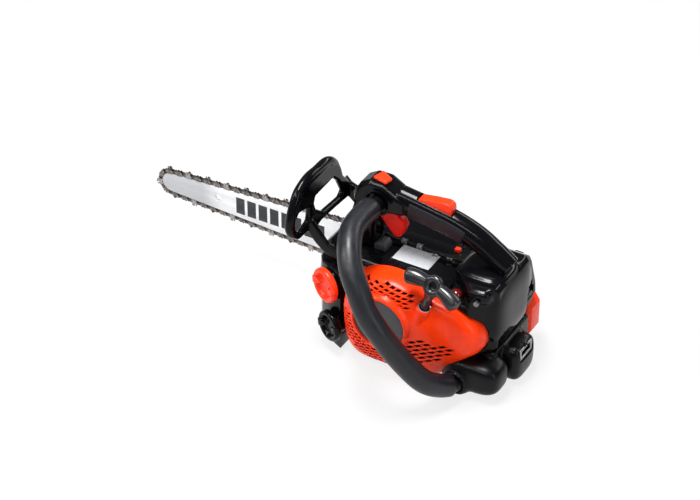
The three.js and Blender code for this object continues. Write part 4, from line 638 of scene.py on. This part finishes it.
STRAP = [(-5.2, -2.0), (-4.2, -3.2), (-1.7, -3.2), (0, -2.2), (1.7, -3.2), (4.2, -3.2), (5.2, -2.0),
         (5.3, 0.8), (4.3, 2.5), (2.3, 2.7), (0, 1.7), (-2.3, 2.7), (-4.3, 2.5), (-5.3, 0.8)]
DRIVE = [(-5.3, -0.8), (-4.4, -2.8), (-2.6, -4.6), (-1.0, -7.2), (1.2, -7.4), (2.6, -4.6),
         (4.4, -2.8), (5.3, -0.8), (5.2, 1.6), (3.6, 2.9), (1.6, 2.2), (-1.6, 2.2), (-3.6, 2.9), (-5.2, 1.6)]
CUTTER = [(-5.3, -2.0), (-4.2, -3.2), (-1.7, -3.2), (0, -2.2), (1.7, -3.2), (4.2, -3.2), (5.2, -2.0),
          (5.6, 1.5), (5.3, 4.0), (4.4, 4.9), (3.4, 4.6), (2.8, 2.6), (1.6, 1.5), (0.5, 2.2),
          (0.9, 5.0), (-3.9, 4.2), (-4.4, 1.0)]


# Links across the chain: half a drive link, and from where to where a strap reaches
DRIVE_HALF, STRAP_FROM, STRAP_TO, PIN_TO = 0.62, 0.7, 1.7, 1.6
LINK_STRETCH = 0.64


def chain():
    stations = chain_stations()
    count = len(stations)
    centre = sum(stations, Vector((0, 0))) / count
    straps, drives, cutters, pins = [], [], [], []

    def place(index):
        start = stations[index]
        end = stations[(index + 1) % count]
        ahead = (start - end).normalized()
        outward = Vector((ahead.y, -ahead.x))
        middle = (start + end) / 2
        if outward.dot(middle - centre) < 0:
            outward = -outward
        stretch = (start - end).length / (PITCH / 2)

        def at(u, v, w):
            flat = middle + ahead * u * LINK_STRETCH * stretch + outward * v
            return Vector((flat.x, BAR_MIDDLE + w, BAR_HEIGHT + flat.y))
        return at

    def link(at, outline, from_w, to_w):
        return prism([at(u, v, from_w) for u, v in outline], [at(u, v, to_w) for u, v in outline])

    for index in range(count):
        at = place(index)
        if index % 2 == 0:
            drives.append(link(at, DRIVE, -DRIVE_HALF, DRIVE_HALF))
        elif index % 4 == 1:
            straps.append(link(at, STRAP, STRAP_FROM, STRAP_TO))
            straps.append(link(at, STRAP, -STRAP_TO, -STRAP_FROM))
        else:
            side = 1 if (index // 4) % 2 else -1
            straps.append(link(at, STRAP, -side * STRAP_FROM, -side * STRAP_TO))
            cutters.append(link(at, CUTTER, side * STRAP_FROM, side * STRAP_TO))
            top = [at(0.9, 5.0, side * 2.3), at(-3.9, 4.2, side * 2.0),
                   at(-3.9, 4.2, -side * 1.0), at(-0.6, 4.9, -side * 1.6)]
            under = [at(1.1, 4.3, side * 2.3), at(-3.9, 3.5, side * 2.0),
                     at(-3.9, 3.5, -side * 1.0), at(-0.5, 4.2, -side * 1.6)]
            faces = [(0, 1, 2, 3), (7, 6, 5, 4), (0, 4, 5, 1), (1, 5, 6, 2), (2, 6, 7, 3), (3, 7, 4, 0)]
            cutters.append((top + under, faces))
        here = stations[index]
        for way in (1, -1):
            foot = (here.x, BAR_MIDDLE + way * PIN_TO, BAR_HEIGHT + here.y)
            pins.append(lathe([(0, 0.55), (0.9, 0.5), (1.35, 0.25), (1.4, 0)], foot, (0, way, 0), 10))
    kinds = [("chain_tie_straps", straps, link_steel), ("chain_drive_links", drives, drive_steel),
             ("chain_cutters", cutters, cutter_steel), ("chain_rivets", pins, steel)]
    for name, parts, skin in kinds:
        thing = piece(name, merged(parts), "powerhead", skin, "steel", 35)
        soften_shading(thing.data, 30)
    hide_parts("saw_chain")


chain()


# Starter cover: a smooth swollen shell with its grid of vents

STARTER_SHARES = [
    (0.33, 0.02), (0.44, 0), (0.87, 0), (0.94, 0.08), (0.975, 0.21), (0.985, 0.51), (0.975, 0.68),
    (0.94, 0.83), (0.84, 0.94), (0.73, 0.99), (0.62, 1), (0.49, 0.96), (0.37, 0.9), (0.24, 0.89),
    (0.12, 0.82), (0.04, 0.72), (0, 0.58), (0.02, 0.46), (0.11, 0.35), (0.195, 0.23), (0.26, 0.105)]
STARTER_CORNER, STARTER_SIZE = (-112, 4), (164, 114)
STARTER_ROOT, STARTER_FACE, HUB_FACE = 36.0, 70.0, 75.0
# The wall, and how far in from the outside the sheet of painted shade behind the vents lies
STARTER_WALL, SHADE_SHEET_FROM, SHADE_SHEET_TO = 1.3, 6.5, 7.5
RIM_STEP, RIM_ROUNDS = 6, 3
HUB = Vector((-2.3, 69.0))
HUB_RADIUS, FLAT_RADIUS, TAIL_RIM = 32.4, 35.5, 45.0
DIP_X, DIP_Z, DIP_DEPTH, DIP_SPREAD = -47, 97, 5.5, 130
SWELL = [(0, 0), (0.02, 0.2), (0.05, 0.36), (0.1, 0.5), (0.18, 0.62), (0.3, 0.73), (0.45, 0.82),
         (0.62, 0.9), (0.8, 0.96), (1, 1)]
PULL = Vector((-0.34, 0.11, 1)).normalized()
COLLAR = Vector((-45, 56, 86))
NECK = COLLAR + Vector((1.2, 2.0, 0.4))


def starter_rim():
    """The cover's outline seen from the side, with its corners eased"""
    (x0, z0), (long, high) = STARTER_CORNER, STARTER_SIZE
    rim = [Vector((x0 + x * long, z0 + z * high)) for x, z in STARTER_SHARES]
    out = []
    for index, a in enumerate(rim):
        b = rim[(index + 1) % len(rim)]
        steps = max(1, math.ceil((b - a).length / RIM_STEP))
        out.extend([a.lerp(b, step / steps) for step in range(steps)])
    for _ in range(RIM_ROUNDS):
        out = [here.lerp((out[index - 1] + out[(index + 1) % len(out)]) / 2, 0.5)
               for index, here in enumerate(out)]
    return out


def swell_loops(inset):
    """Rings from the cover's root over its swell to the hub, with a dip beside the collar"""
    rim = grown(starter_rim(), -inset)
    loops = [[Vector((p.x, STARTER_ROOT, p.y)) for p in rim]]
    rim_face = TAIL_RIM - inset
    flat = FLAT_RADIUS - inset / 2
    for inward, up in SWELL:
        face = rim_face + up * (STARTER_FACE - inset - rim_face)
        ring = []
        for p in rim:
            spot = p.lerp(HUB + (p - HUB).normalized() * flat, inward)
            off = (spot.x - DIP_X) ** 2 + (spot.y - DIP_Z) ** 2
            dip = DIP_DEPTH * math.exp(-off / DIP_SPREAD) * min(1, up * 1.6)
            ring.append(Vector((spot.x, face - dip, spot.y)))
        loops.append(ring)
    middle = [HUB + (p - HUB).normalized() * HUB_RADIUS * 0.6 for p in rim]
    loops.append([Vector((p.x, STARTER_FACE - inset, p.y)) for p in middle])
    return loops


def shell(outer, inner):
    """A closed shell between two sets of rings"""
    verts = [v for ring in outer + inner for v in ring]
    rows, count = len(outer), len(outer[0])
    shift, last = rows * count, (rows - 1) * count
    faces = []
    for face, (a, b, c, d) in zip(ring_faces(rows, count), ring_faces(rows, count, shift)):
        faces.extend([face, (a, d, c, b)])
    faces.append(tuple(range(last, last + count)))
    faces.append(tuple(reversed(range(last + shift, last + shift + count))))
    for index in range(count):
        after = (index + 1) % count
        faces.append((after, index, index + shift, after + shift))
    return verts, faces


def inside_polygon(x, z, outline):
    hit = False
    for index in range(len(outline)):
        ax, az = outline[index - 1]
        bx, bz = outline[index]
        if (az > z) != (bz > z) and x < (bx - ax) * (z - az) / (bz - az) + ax:
            hit = not hit
    return hit


SLOT_NEAR, SLOT_FAR, SLOT_ROWS = 36, 84, 16


def slot_prisms(field, start, along, across, long, wide):
    """Slots in slanted rows, kept where their middle lies in the field; long and wide are shares of the steps"""
    along, across = Vector(along), Vector(across)
    parts = []
    for row in range(-SLOT_ROWS, SLOT_ROWS + 1):
        for column in range(-SLOT_ROWS, SLOT_ROWS + 1):
            centre = Vector(start) + along * column + across * row
            if inside_polygon(centre.x, centre.y, field):
                corners = [centre + along * u * long / 2 + across * v * wide / 2
                           for u, v in ((-1, -1), (1, -1), (1, 1), (-1, 1))]
                parts.append(side_part(corners, SLOT_NEAR, SLOT_FAR))
    return parts


def polar(points):
    """Points given by their distance and angle from the hub"""
    return [(HUB.x + r * math.cos(math.radians(a)), HUB.y + r * math.sin(math.radians(a)))
            for r, a in points]


UPPER_FIELD = polar([(34.8, 40), (34.8, 65), (34.8, 90), (34.8, 110), (34.8, 130), (36, 141), (43, 138),
                     (50.5, 130), (49.5, 122), (47.5, 110), (47, 98), (46.5, 85), (47, 70), (48, 50)])
FRONT_FIELD = [(46, 72), (48, 60), (46.5, 50), (43, 43), (40, 36), (36, 29), (28, 21), (18, 15),
               (4, 11), (-8, 11), *polar([(36.5, -100), (36.5, -80), (36.5, -50), (36.5, -20), (36.5, 3)])]
LOWER_FIELD = [(-28, 55), (-38, 62.5), (-47, 64.5), (-57, 64.2), (-66, 62.3), (-75, 60.5), (-84, 58.5),
               (-81, 50), (-69, 43), (-62, 37), (-46, 29), (-36, 22), (-26, 22), (-18, 30), (-24, 38)]


def starter_cover():
    cover = piece("starter_cover_shell", shell(swell_loops(0), swell_loops(STARTER_WALL)), "powerhead", orange,
                  "orange_plastic", 180)
    slots = slot_prisms(UPPER_FIELD, (-7.3, 109.6), (-5.05, 2.95), (-6.75, -1.45), 0.76, 0.78)
    slots += slot_prisms(FRONT_FIELD, (23.6, 33.7), (-7.75, 2.1), (-5.3, -2.9), 0.84, 0.74)
    slots += slot_prisms(LOWER_FIELD, (-61.1, 49.8), (-9.4, 4.35), (-7.3, -2.3), 0.86, 0.66)
    carve(cover, [merged(slots), swept([NECK - PULL * 30, NECK + PULL * 30], 6.7, 32)])
    bevelled(cover, 0.22, 2, 45)
    soften_shading(cover.data, 38)
    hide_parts("starter_cover")
    # A near-black sheet inside the shell, behind the vents: painted shade, so that the slots look dark inside
    piece("starter_painted_shade_sheet", shell(swell_loops(SHADE_SHEET_FROM), swell_loops(SHADE_SHEET_TO)), "powerhead",
          painted_shade_skin, "black_satin", 60)

    hub = [(29.9, -3.2), (29.9, 0.6), (30.3, 1.1), (31.6, 1.1), (32.6, 0.5), (33.4, -0.6), (34.4, -2.4),
           (35.4, -4.2), (36.4, -6.4), (35, -8), (30.4, -8), (29.9, -3.2)]
    piece("starter_hub_ring", lathe(hub, (HUB.x, HUB_FACE - 1.1, HUB.y), (0, 1, 0), 72), "powerhead", orange,
          "orange_plastic", 50)
    badge = [(0, 0.0), (26, 0.0), (29.0, -0.1), (29.7, -0.7), (29.7, -3)]
    disc = piece("starter_badge_disc", lathe(badge, (HUB.x, HUB_FACE - 1.9, HUB.y), (0, 1, 0), 72), "powerhead",
                 badge_skin, "grey_satin", 40)
    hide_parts("starter_badge")

    collar = [(6.8, -12), (6.8, 13.4), (7.2, 14), (8.6, 14), (9.2, 13.3), (9.4, 10), (9.8, 6.5), (10.6, 2.5),
              (11.4, -2), (12, -9), (11, -12), (6.8, -12)]
    piece("starter_collar", lathe(collar, NECK, PULL, 48), "powerhead", orange, "orange_plastic", 60)
    lining = [(5.9, -6), (5.9, 13.2), (6.9, 13.5), (6.9, -6), (5.9, -6)]
    piece("starter_collar_lining", lathe(lining, NECK, PULL, 48), "powerhead", label_skin, "pale_plate", 60)


starter_cover()


# Pull handle: a curved bar with a flat eye and a stem, smoothed into one skin

PULL_RISE = 47.8
GRIP_WAY, EYE_WAY = Vector((-0.965, 0.03, -0.26)), Vector((0, 1, 0.55))
GRIP_FROM, GRIP_LONG, GRIP_STEPS = 8, 25, 12
EYE_WIDE, EYE_HIGH, EYE_RING, EYE_STEPS = 7.8, 7.6, 4.0, 32


def pull_handle():
    middle = NECK + PULL * PULL_RISE - Vector((0, 0.8, 0))
    across = GRIP_WAY.normalized()
    eye_axis = EYE_WAY.normalized()
    across = (across - eye_axis * across.dot(eye_axis)).normalized()
    lift = eye_axis.cross(across).normalized()
    if lift.dot(PULL) < 0:
        lift = -lift
    parts = []
    for side in (-1, 1):
        line, sizes = [], []
        for step in range(GRIP_STEPS + 1):
            share = step / GRIP_STEPS
            drop = -1.5 * share - 4.5 * share * share
            line.append(middle + across * side * (GRIP_FROM + share * GRIP_LONG) + lift * drop)
            swell = 6.4 + 2.4 * math.sin(math.pi * share * 0.6)
            end = 1.0 if share < 0.84 else math.sqrt(max(0.0, 1 - ((share - 0.84) / 0.165) ** 2))
            sizes.append(max(0.8, swell * end))
        parts.append(swept(line, sizes))
    angles = [2 * math.pi * step / EYE_STEPS for step in range(EYE_STEPS + 1)]
    ring = [middle + across * math.cos(angle) * EYE_WIDE + lift * math.sin(angle) * EYE_HIGH for angle in angles]
    parts.append(swept(ring, EYE_RING, 18, caps=False))
    floor = middle - eye_axis * 3.0
    parts.append(swept([floor - eye_axis * 2.2, floor + eye_axis * 0.4], 7.2, 32))
    stem = [(10.8, 4.6), (20, 4.6), (30, 4.8), (37, 6.5), (42, 8)]
    parts.append(swept([NECK + PULL * rise for rise, _ in stem], [radius for _, radius in stem]))
    thing = piece("pull_handle_skin", merged(parts), "starter_handle", pull_skin, "black_gloss", 180)
    skinned(thing, 0.45, 6)
    soften_shading(thing.data, 180)
    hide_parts("starter_handle")


pull_handle()


# Front handle tube with its rubber sleeve

LOOP_SHARES = [
    (0.99, 0, 0.99), (1, 0.22, 1), (0.99, 0.49, 0.99), (0.92, 0.71, 0.95), (0.83, 0.87, 0.87),
    (0.74, 0.95, 0.78), (0.65, 1, 0.66), (0.55, 1, 0.54), (0.45, 0.95, 0.4), (0.33, 0.88, 0.25),
    (0.23, 0.79, 0.13), (0.16, 0.64, 0.05), (0.1, 0.48, 0.01), (0.04, 0.32, 0), (0, 0.15, 0)]
LOOP_LOW, LOOP_HIGH = (-100, 12, 15.4), (35, 118.4, 173)


TUBE_RADIUS, SLEEVE_RADIUS, SLEEVE_LIP = 9.0, 12.5, 1.2
LIP_LENGTH = 1.6


def front_handle():
    points = [[low + share * (high - low) for share, low, high in zip(shares, LOOP_LOW, LOOP_HIGH)]
              for shares in LOOP_SHARES]
    line = curve_points(points, 8)
    tube = piece("front_tube_core", swept(line, TUBE_RADIUS, 32), "powerhead", black_soft, "steel", 180)
    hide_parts("front_handle_tube")
    start = next(index for index, p in enumerate(line) if p.y > 22)
    end = next(index for index, p in enumerate(line) if p.x < -60 and p.y < 66)
    sleeve = line[start:end]
    lengths = [0.0]
    for index in range(1, len(sleeve)):
        lengths.append(lengths[-1] + (sleeve[index] - sleeve[index - 1]).length)
    sizes = []
    for travelled in lengths:
        share = min(1, min(travelled, lengths[-1] - travelled) / LIP_LENGTH)
        sizes.append(SLEEVE_RADIUS - SLEEVE_LIP + SLEEVE_LIP * math.sqrt(1 - (1 - share) ** 2))
    rubber = piece("front_rubber_sleeve", swept(sleeve, sizes, 40), "powerhead", tube_skin, "grip_rubber", 50)
    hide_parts("front_handle_grip")


front_handle()


# Hand guard with its rolled rail

RAIL_SHARES = [(0.87, 0.18), (0.94, 0.26), (0.99, 0.37), (1, 0.48), (0.95, 0.7), (0.87, 0.88), (0.79, 0.95),
               (0.67, 1), (0.53, 0.99), (0.34, 0.96), (0.21, 0.82), (0.16, 0.66)]


GUARD_X, RAIL_INSET = 102, 4.6
GUARD_MIDDLE = (0.6, 0.58)


def guard_place(shares):
    return Vector((-46 + 125 * shares[0], 117 + 82 * shares[1]))


def guard():
    points = []
    for shares in RAIL_SHARES:
        spot = guard_place(shares)
        spot -= (spot - guard_place(GUARD_MIDDLE)).normalized() * RAIL_INSET
        points.append((GUARD_X, spot.x, spot.y))
    line = curve_points(points, 5)
    last = len(line) - 1
    sizes = [3.2 + 2.2 * min(1, index / 8, (last - index) / 8) for index in range(len(line))]
    fused("hand_guard", black, "black_gloss", 0.9, 14, more=[swept(line, sizes, 28)])


guard()


# Top handle: gloss bar, matt sleeve under it, lockout on top

HANDLE = [(-114, 0, 135.5), (-105, 0, 141.4), (-94.5, 0, 148), (-83, 0, 155.5), (-69.6, 0, 162),
          (-49.8, 0, 168.5), (-27.4, 0, 172.5), (-6.3, 0, 176.1), (14, 0, 179)]


SLEEVE_OUTER, SLEEVE_INNER, SLEEVE_DEEPER = 14.0, 11.5, 1.28


def top_handle():
    line = curve_points(HANDLE, 5)
    fused("top_handle", black, "black_gloss", 0.9, 9,
          more=[swept(line, [12.2 + min(0.8, index / 10) for index in range(len(line))], 48)],
          less=[box_part((-125, -30, 128.9), (-64, 30, 200)), box_part((-2, 14.6, 112), (80, 30, 205))],
          cut=[box_part((-50.2, -6.9, 174), (-8.2, 6.9, 205)), box_part((1.5, -5.6, 120), (39, 5.6, 173.5))])
    sleeve = [p for p in line if -68 <= p.x <= -1]
    angles = [math.radians(angle) for angle in range(28, -209, -8)]
    outline = [(SLEEVE_OUTER * math.cos(a), SLEEVE_OUTER * math.sin(a) * (SLEEVE_DEEPER if math.sin(a) < 0 else 1))
               for a in angles]
    outline += [(SLEEVE_INNER * math.cos(a), SLEEVE_INNER * math.sin(a)) for a in reversed(angles)]
    grip = rounded_piece("grip_sleeve", swept_outline(sleeve, outline), "powerhead", grip_skin, "black_satin",
                         0.5, 2, 40, 40)
    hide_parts("handle_grip")
    wedge = [(-9.4, 179), (-9.6, 186.6), (-11, 187.6), (-27, 190.2), (-41, 191.8), (-45, 191.2), (-47.6, 188.6),
             (-48.2, 185), (-48.2, 179)]
    lever = rounded_piece("lockout_wedge", side_part(wedge, -6.0, 6.0), body_of_node["throttle_lockout"],
                          cap_orange, "orange_plastic", 1.3, 4, 20, 50)
    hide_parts("throttle_lockout")


top_handle()


# Rear cover, rear base and the small pieces on them

def rear_end():
    shoulder = pillow((-90, 1, 123), (27, 27, 9), 0.6)
    crest = pillow((-99, 27, 119), (14.5, 18, 9), 0.6)
    swell = pillow((-103.8, -6, 88), (17.8, 43, 39), 0.5)
    fused("rear_cover", black, "black_gloss", 1.0, 14, more=[shoulder, crest, swell],
          cut=[box_part((-125, -49, 40), (-115.6, -31, 84)), box_part((-125, -47.5, 80), (-112.4, -33, 92)),
               swept([(-74, 40, 104.5), (-74, 40, 130)], 8.3, 48)])
    lump = pillow((-124.5, -3.5, 24), (13.2, 22.5, 22), 0.55)
    foot = pillow((-98, 40, 24), (34, 21, 19), 0.6)
    fused("rear_base", black_soft, "black_gloss", 1.0, 16, more=[lump, foot],
          cut=[box_part((-145, -17.5, 27.5), (-131.4, 11.5, 43.5))])
    dome = [(0, 8.6), (2.2, 8.4), (4.2, 7.5), (5.8, 5.8), (6.6, 3.4), (6.8, 1.0), (6.4, 0.6), (0, 0.6)]
    bulb = piece("purge_dome", lathe(dome, (-74, 40, 109.4), (0, 0, 1), 40), body_of_node["purge_bulb"],
                 bulb_skin, "red_bulb", 80)
    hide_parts("purge_bulb")
    head = [(0, 0.7), (1.3, 0.7), (1.3, 1.3), (2.4, 1.3), (2.9, 0.9), (2.9, -2)]
    screw = piece("cover_screw_head", lathe(head, (-101, 48.9, 116), (0, 1, 0), 36), "powerhead", steel,
                  "bright_steel", 30)
    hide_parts("cover_screw")


rear_end()


# Starter rope: the CAD rope's form as it stands, with its inner end in the cover, and a braided skin


def rope():
    mesh = cad_mesh("starter_rope", False)
    mesh.materials.append(rope_skin)
    thing = placed("starter_rope_skin", mesh)
    soften_shading(mesh, 60)
    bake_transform(thing)
    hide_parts("starter_rope")


rope()


# Tank caps: a dished face in a round rim, with two wedges to grip

CAP_AXIS = Vector((0.42623, 0.90461, 0)).normalized()
# How far in from the rim each row of a wedge lies, half its width and its height
WEDGE_ROWS = [(1.4, 5.4, 10.2), (5.5, 4.2, 10.4), (10.5, 1.7, 9.4), (13.5, 0.9, 6.6)]
WEDGE_FOOT, WEDGE_TAPER = 4, 0.8


def tank_cap(node, material, slot, centre, radius, tilt):
    level = Vector((CAP_AXIS.y, -CAP_AXIS.x, 0))
    along = level * math.cos(tilt) + Vector((0, 0, 1)) * math.sin(tilt)
    over = CAP_AXIS.cross(along)
    profile = [(0, -7), (radius - 6.6, -7), (radius - 6.6, 2.5), (radius - 0.9, 2.5), (radius, 3.4),
               (radius, 7), (radius - 0.5, 8.3), (radius - 1.7, 9.2), (radius - 3.2, 9.5),
               (radius - 4.7, 9.1), (radius - 6.2, 7.8), (radius - 7.4, 6), (radius - 9, 5.2), (0, 5)]
    parts = [lathe(profile, centre, CAP_AXIS, 72)]
    for side in (-1, 1):
        verts = []
        for inwards, half, high in WEDGE_ROWS:
            spot = Vector(centre) + along * side * (radius - inwards)
            corners = [(-1, WEDGE_FOOT), (1, WEDGE_FOOT), (WEDGE_TAPER, high), (-WEDGE_TAPER, high)]
            verts.extend([spot + over * a * half + CAP_AXIS * b for a, b in corners])
        parts.append((verts, ring_faces(len(WEDGE_ROWS), 4) + end_faces(len(WEDGE_ROWS), 4)))
    thing = piece(node + "_skin", merged(parts), body_of_node[node], material, slot, 180)
    skinned(thing, 0.4, 4)
    soften_shading(thing.data, 180)
    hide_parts(node)


tank_cap("fuel_cap", cap_orange, "orange_plastic", (69.826, 48.813, 78.4), 19.6, 0.0)
tank_cap("oil_cap", black, "black_gloss", (62.926, 52.064, 30.0), 17.8, -0.17)


# Small pieces on the deck: collars on the cable, a bracket, a clip and screws

CABLE_COLLARS = (10, -6, -24, -42)
SCREWS = ((-94, 44.5, 47.0), (41, 45.5, 6.0))


def deck_details():
    body = body_of_node["throttle_cable"]
    points = [v.co / MM for v in nodes["throttle_cable"].data.vertices]
    ring = [(1.2, -3.5), (3.0, -3.2), (3.0, -1.2), (2.5, -0.9), (2.5, 0.9), (3.0, 1.2), (3.0, 3.2), (1.2, 3.5),
            (1.2, -3.5)]
    for index, place in enumerate(CABLE_COLLARS):
        near = sorted(points, key=lambda p: abs(p.x - place))[:24]
        middle = sum(near, Vector()) / len(near)
        piece("cable_collar_%d" % index, lathe(ring, middle, (1, 0, -0.06), 28), body, steel, "steel", 40)
    bracket = [(24, 111.8), (38, 111.8), (38, 118.5), (33, 121), (27, 121), (24, 117)]
    rounded_piece("deck_bracket", side_part(bracket, -3, 12), "powerhead", badge_skin, "grey_satin", 0.9, 3, 25, 40)
    clip = [(-44, 111.8), (-37, 111.8), (-37.5, 115.8), (-43, 115.8)]
    rounded_piece("deck_clip", side_part(clip, -30, -25), "powerhead", cap_orange, "orange_plastic", 0.5, 2, 25, 40)
    head = [(0, 0.8), (1.5, 0.8), (1.5, 1.6), (2.6, 1.6), (3.2, 1.0), (3.2, -0.5), (1.8, -0.6), (1.8, -9), (0, -9)]
    for index, place in enumerate(SCREWS):
        piece("case_screw_%d" % index, lathe(head, place, (0, 1, 0), 30), "powerhead", steel, "bright_steel", 35)


deck_details()


# Pieces that keep the form of the solids: with rounded edges, as smooth skins, or as they are

ROUNDED = [
    ("guide_bar", bar_steel, "bar_steel", 0.35, 2),
    ("bar_stud", steel, "steel", 0.3, 2), ("bar_nut", steel, "steel", 0.6, 2),
    ("chain_catcher", black_soft, "black_satin", 0.8, 3),
    ("clutch_cover", black, "black_gloss", 1.2, 3), ("side_housing", orange, "orange_plastic", 1.0, 3),
    ("engine_cover", black, "black_gloss", 0.9, 3), ("label_plate", label_skin, "pale_plate", 0.15, 1),
    ("front_cover", black, "black_gloss", 1.4, 3),
    ("tank_housing", black, "black_gloss", 1.2, 3),
    ("fuel_cap_seal", seal_skin, "grip_rubber", 0.2, 1), ("oil_cap_seal", seal_skin, "grip_rubber", 0.2, 1),
    ("stop_switch", cap_orange, "orange_plastic", 0.9, 3),
    ("cover_knob", black_soft, "black_satin", 0.6, 3), ("choke_lever", black_soft, "black_satin", 0.8, 3),
    ("guard_pin_left", steel, "steel", 0.5, 2), ("guard_pin_right", steel, "steel", 0.5, 2),
    ("crankcase", cast, "cast_alloy", 0.8, 2),
    ("muffler", steel, "steel", 1.0, 2),
]
for node, skin, slot_name, width, segments in ROUNDED:
    softened(node, skin, slot_name, width, segments)

SMOOTH = [
    ("throttle_trigger", trigger_red, "orange_plastic", 0.6, 10),
    ("lanyard_ring", steel, "bright_steel", 0.5, 4),
    ("throttle_cable", black_soft, "black_satin", 0.7, 4),
]
for node, skin, slot_name, voxel, rounds in SMOOTH:
    fused(node, skin, slot_name, voxel, rounds)

KEPT = {
    "connecting_rod": steel, "piston": cast, "cylinder": cast, "spark_plug": plated,
    "crank_half_right": steel, "crank_half_left": steel, "flywheel": cast, "clutch_drum": steel,
    "clutch_shoes": steel, "brake_band": steel, "starter_pulley": black_soft, "recoil_spring": steel,
    "intake_boot": seal_skin, "carburettor": cast, "air_filter": felt_skin, "rope_bushing": steel,
    "ignition_coil": black_soft,
}
for node, skin in KEPT.items():
    nodes[node].data.materials.clear()
    nodes[node].data.materials.append(skin)


# Floor, light and camera

FLOOR_REACH, FLOOR_LEVEL = 14, -0.0002
FLOOR_TONE, FLOOR_GLOW = 0.62, 0.8


def ray_weight(tree, kinds):
    """One for rays of these kinds, and else nought"""
    path = added(tree, "LightPath", {})
    weight = path.outputs[kinds[0]]
    for kind in kinds[1:]:
        weight = added(tree, "Math", {0: weight, 1: path.outputs[kind]}, operation="MAXIMUM").outputs[0]
    return weight


def mixed(tree, weight, first, second, output):
    mix = added(tree, "MixShader", {0: weight, 1: first.outputs[0], 2: second.outputs[0]})
    added(tree, output, {"Surface": mix.outputs[0]})


def floor():
    """A pale floor that keeps the shadow, and glows for the camera and in what is gloss or clear"""
    r, z = FLOOR_REACH, FLOOR_LEVEL
    mesh = bpy.data.meshes.new("floor")
    mesh.from_pydata([(-r, -r, z), (r, -r, z), (r, r, z), (-r, r, z)], [], [(0, 1, 2, 3)])
    thing = placed("floor", mesh)
    material = bpy.data.materials.new("pale_floor")
    material.use_nodes = True
    tree = material.node_tree
    tree.nodes.clear()
    plain = added(tree, "BsdfDiffuse", {"Color": (FLOOR_TONE, FLOOR_TONE, FLOOR_TONE, 1)})
    glow = added(tree, "Emission", {"Color": (1, 1, 1, 1)})
    rays = ray_weight(tree, ["Is Camera Ray", "Is Glossy Ray", "Is Transmission Ray"])
    weight = added(tree, "Math", {0: rays, 1: FLOOR_GLOW}, operation="MULTIPLY").outputs[0]
    mixed(tree, weight, plain, glow, "OutputMaterial")
    mesh.materials.append(material)


def world():
    """White where the camera looks, plain studio light elsewhere"""
    made = bpy.data.worlds.new("studio")
    bpy.context.scene.world = made
    made.use_nodes = True
    tree = made.node_tree
    tree.nodes.clear()
    studio = added(tree, "Background", {"Color": (0.95, 0.97, 1.0, 1), "Strength": 0.16})
    white = added(tree, "Background", {"Color": (1, 1, 1, 1), "Strength": 1.0})
    mixed(tree, ray_weight(tree, ["Is Camera Ray", "Is Transmission Ray"]), studio, white, "OutputWorld")


# Soft boxes: place, width, height and power, all aimed at the saw
LIT = (0.05, 0.02, 0.09)
SOFT_BOXES = {
    "overhead": ((0.2, 0.1, 1.8), 0.8, 0.4, 46),
    "left_key": ((1.5, 1.0, 1.5), 0.22, 1.5, 15),
    "right_fill": ((-1.8, 0.6, 0.9), 0.2, 1.3, 6),
    "long_strip": ((0.3, 1.0, 1.3), 1.7, 0.1, 9),
    "rim": ((-0.5, -1.7, 1.1), 1.6, 0.3, 12),
}


def lights():
    for name, (place, width, height, power) in SOFT_BOXES.items():
        light = bpy.data.lights.new(name, "AREA")
        light.shape = "RECTANGLE"
        light.size = width
        light.size_y = height
        light.energy = power
        away = (Vector(place) - Vector(LIT)).normalized()
        placed(name, light).matrix_world = (Matrix.Translation(place)
                                            @ away.to_track_quat("Z", "Y").to_matrix().to_4x4())


AZIMUTH, ELEVATION, DISTANCE, LENS, SENSOR = math.radians(30), math.radians(36), 2.4, 119.48, 36
# The starter's hub, and how far the picture's middle lies from it, left and up, in metres
HUB_SEEN, MIDDLE_LEFT, MIDDLE_UP = Vector((0, 0.072, 0.058)), 0.027 / 0.968, 0.081 / 0.968


def camera():
    """The photograph's camera"""
    s, c = math.sin(AZIMUTH), math.cos(AZIMUTH)
    rise, level = math.sin(ELEVATION), math.cos(ELEVATION)
    right, up = Vector((-c, -s, 0)), Vector((s * rise, -c * rise, level))
    back = Vector((-s * level, c * level, rise))
    lens = bpy.data.cameras.new("camera")
    lens.lens = LENS
    lens.sensor_width = SENSOR
    lens.sensor_fit = "HORIZONTAL"
    thing = placed("camera", lens)
    place = HUB_SEEN - right * MIDDLE_LEFT + up * MIDDLE_UP + back * DISTANCE
    turn = Matrix((right, up, back)).transposed().to_4x4()
    thing.matrix_world = Matrix.Translation(place) @ turn
    bpy.context.scene.camera = thing


floor()
world()
camera()
lights()

scene = bpy.context.scene
scene.view_settings.view_transform = "Standard"
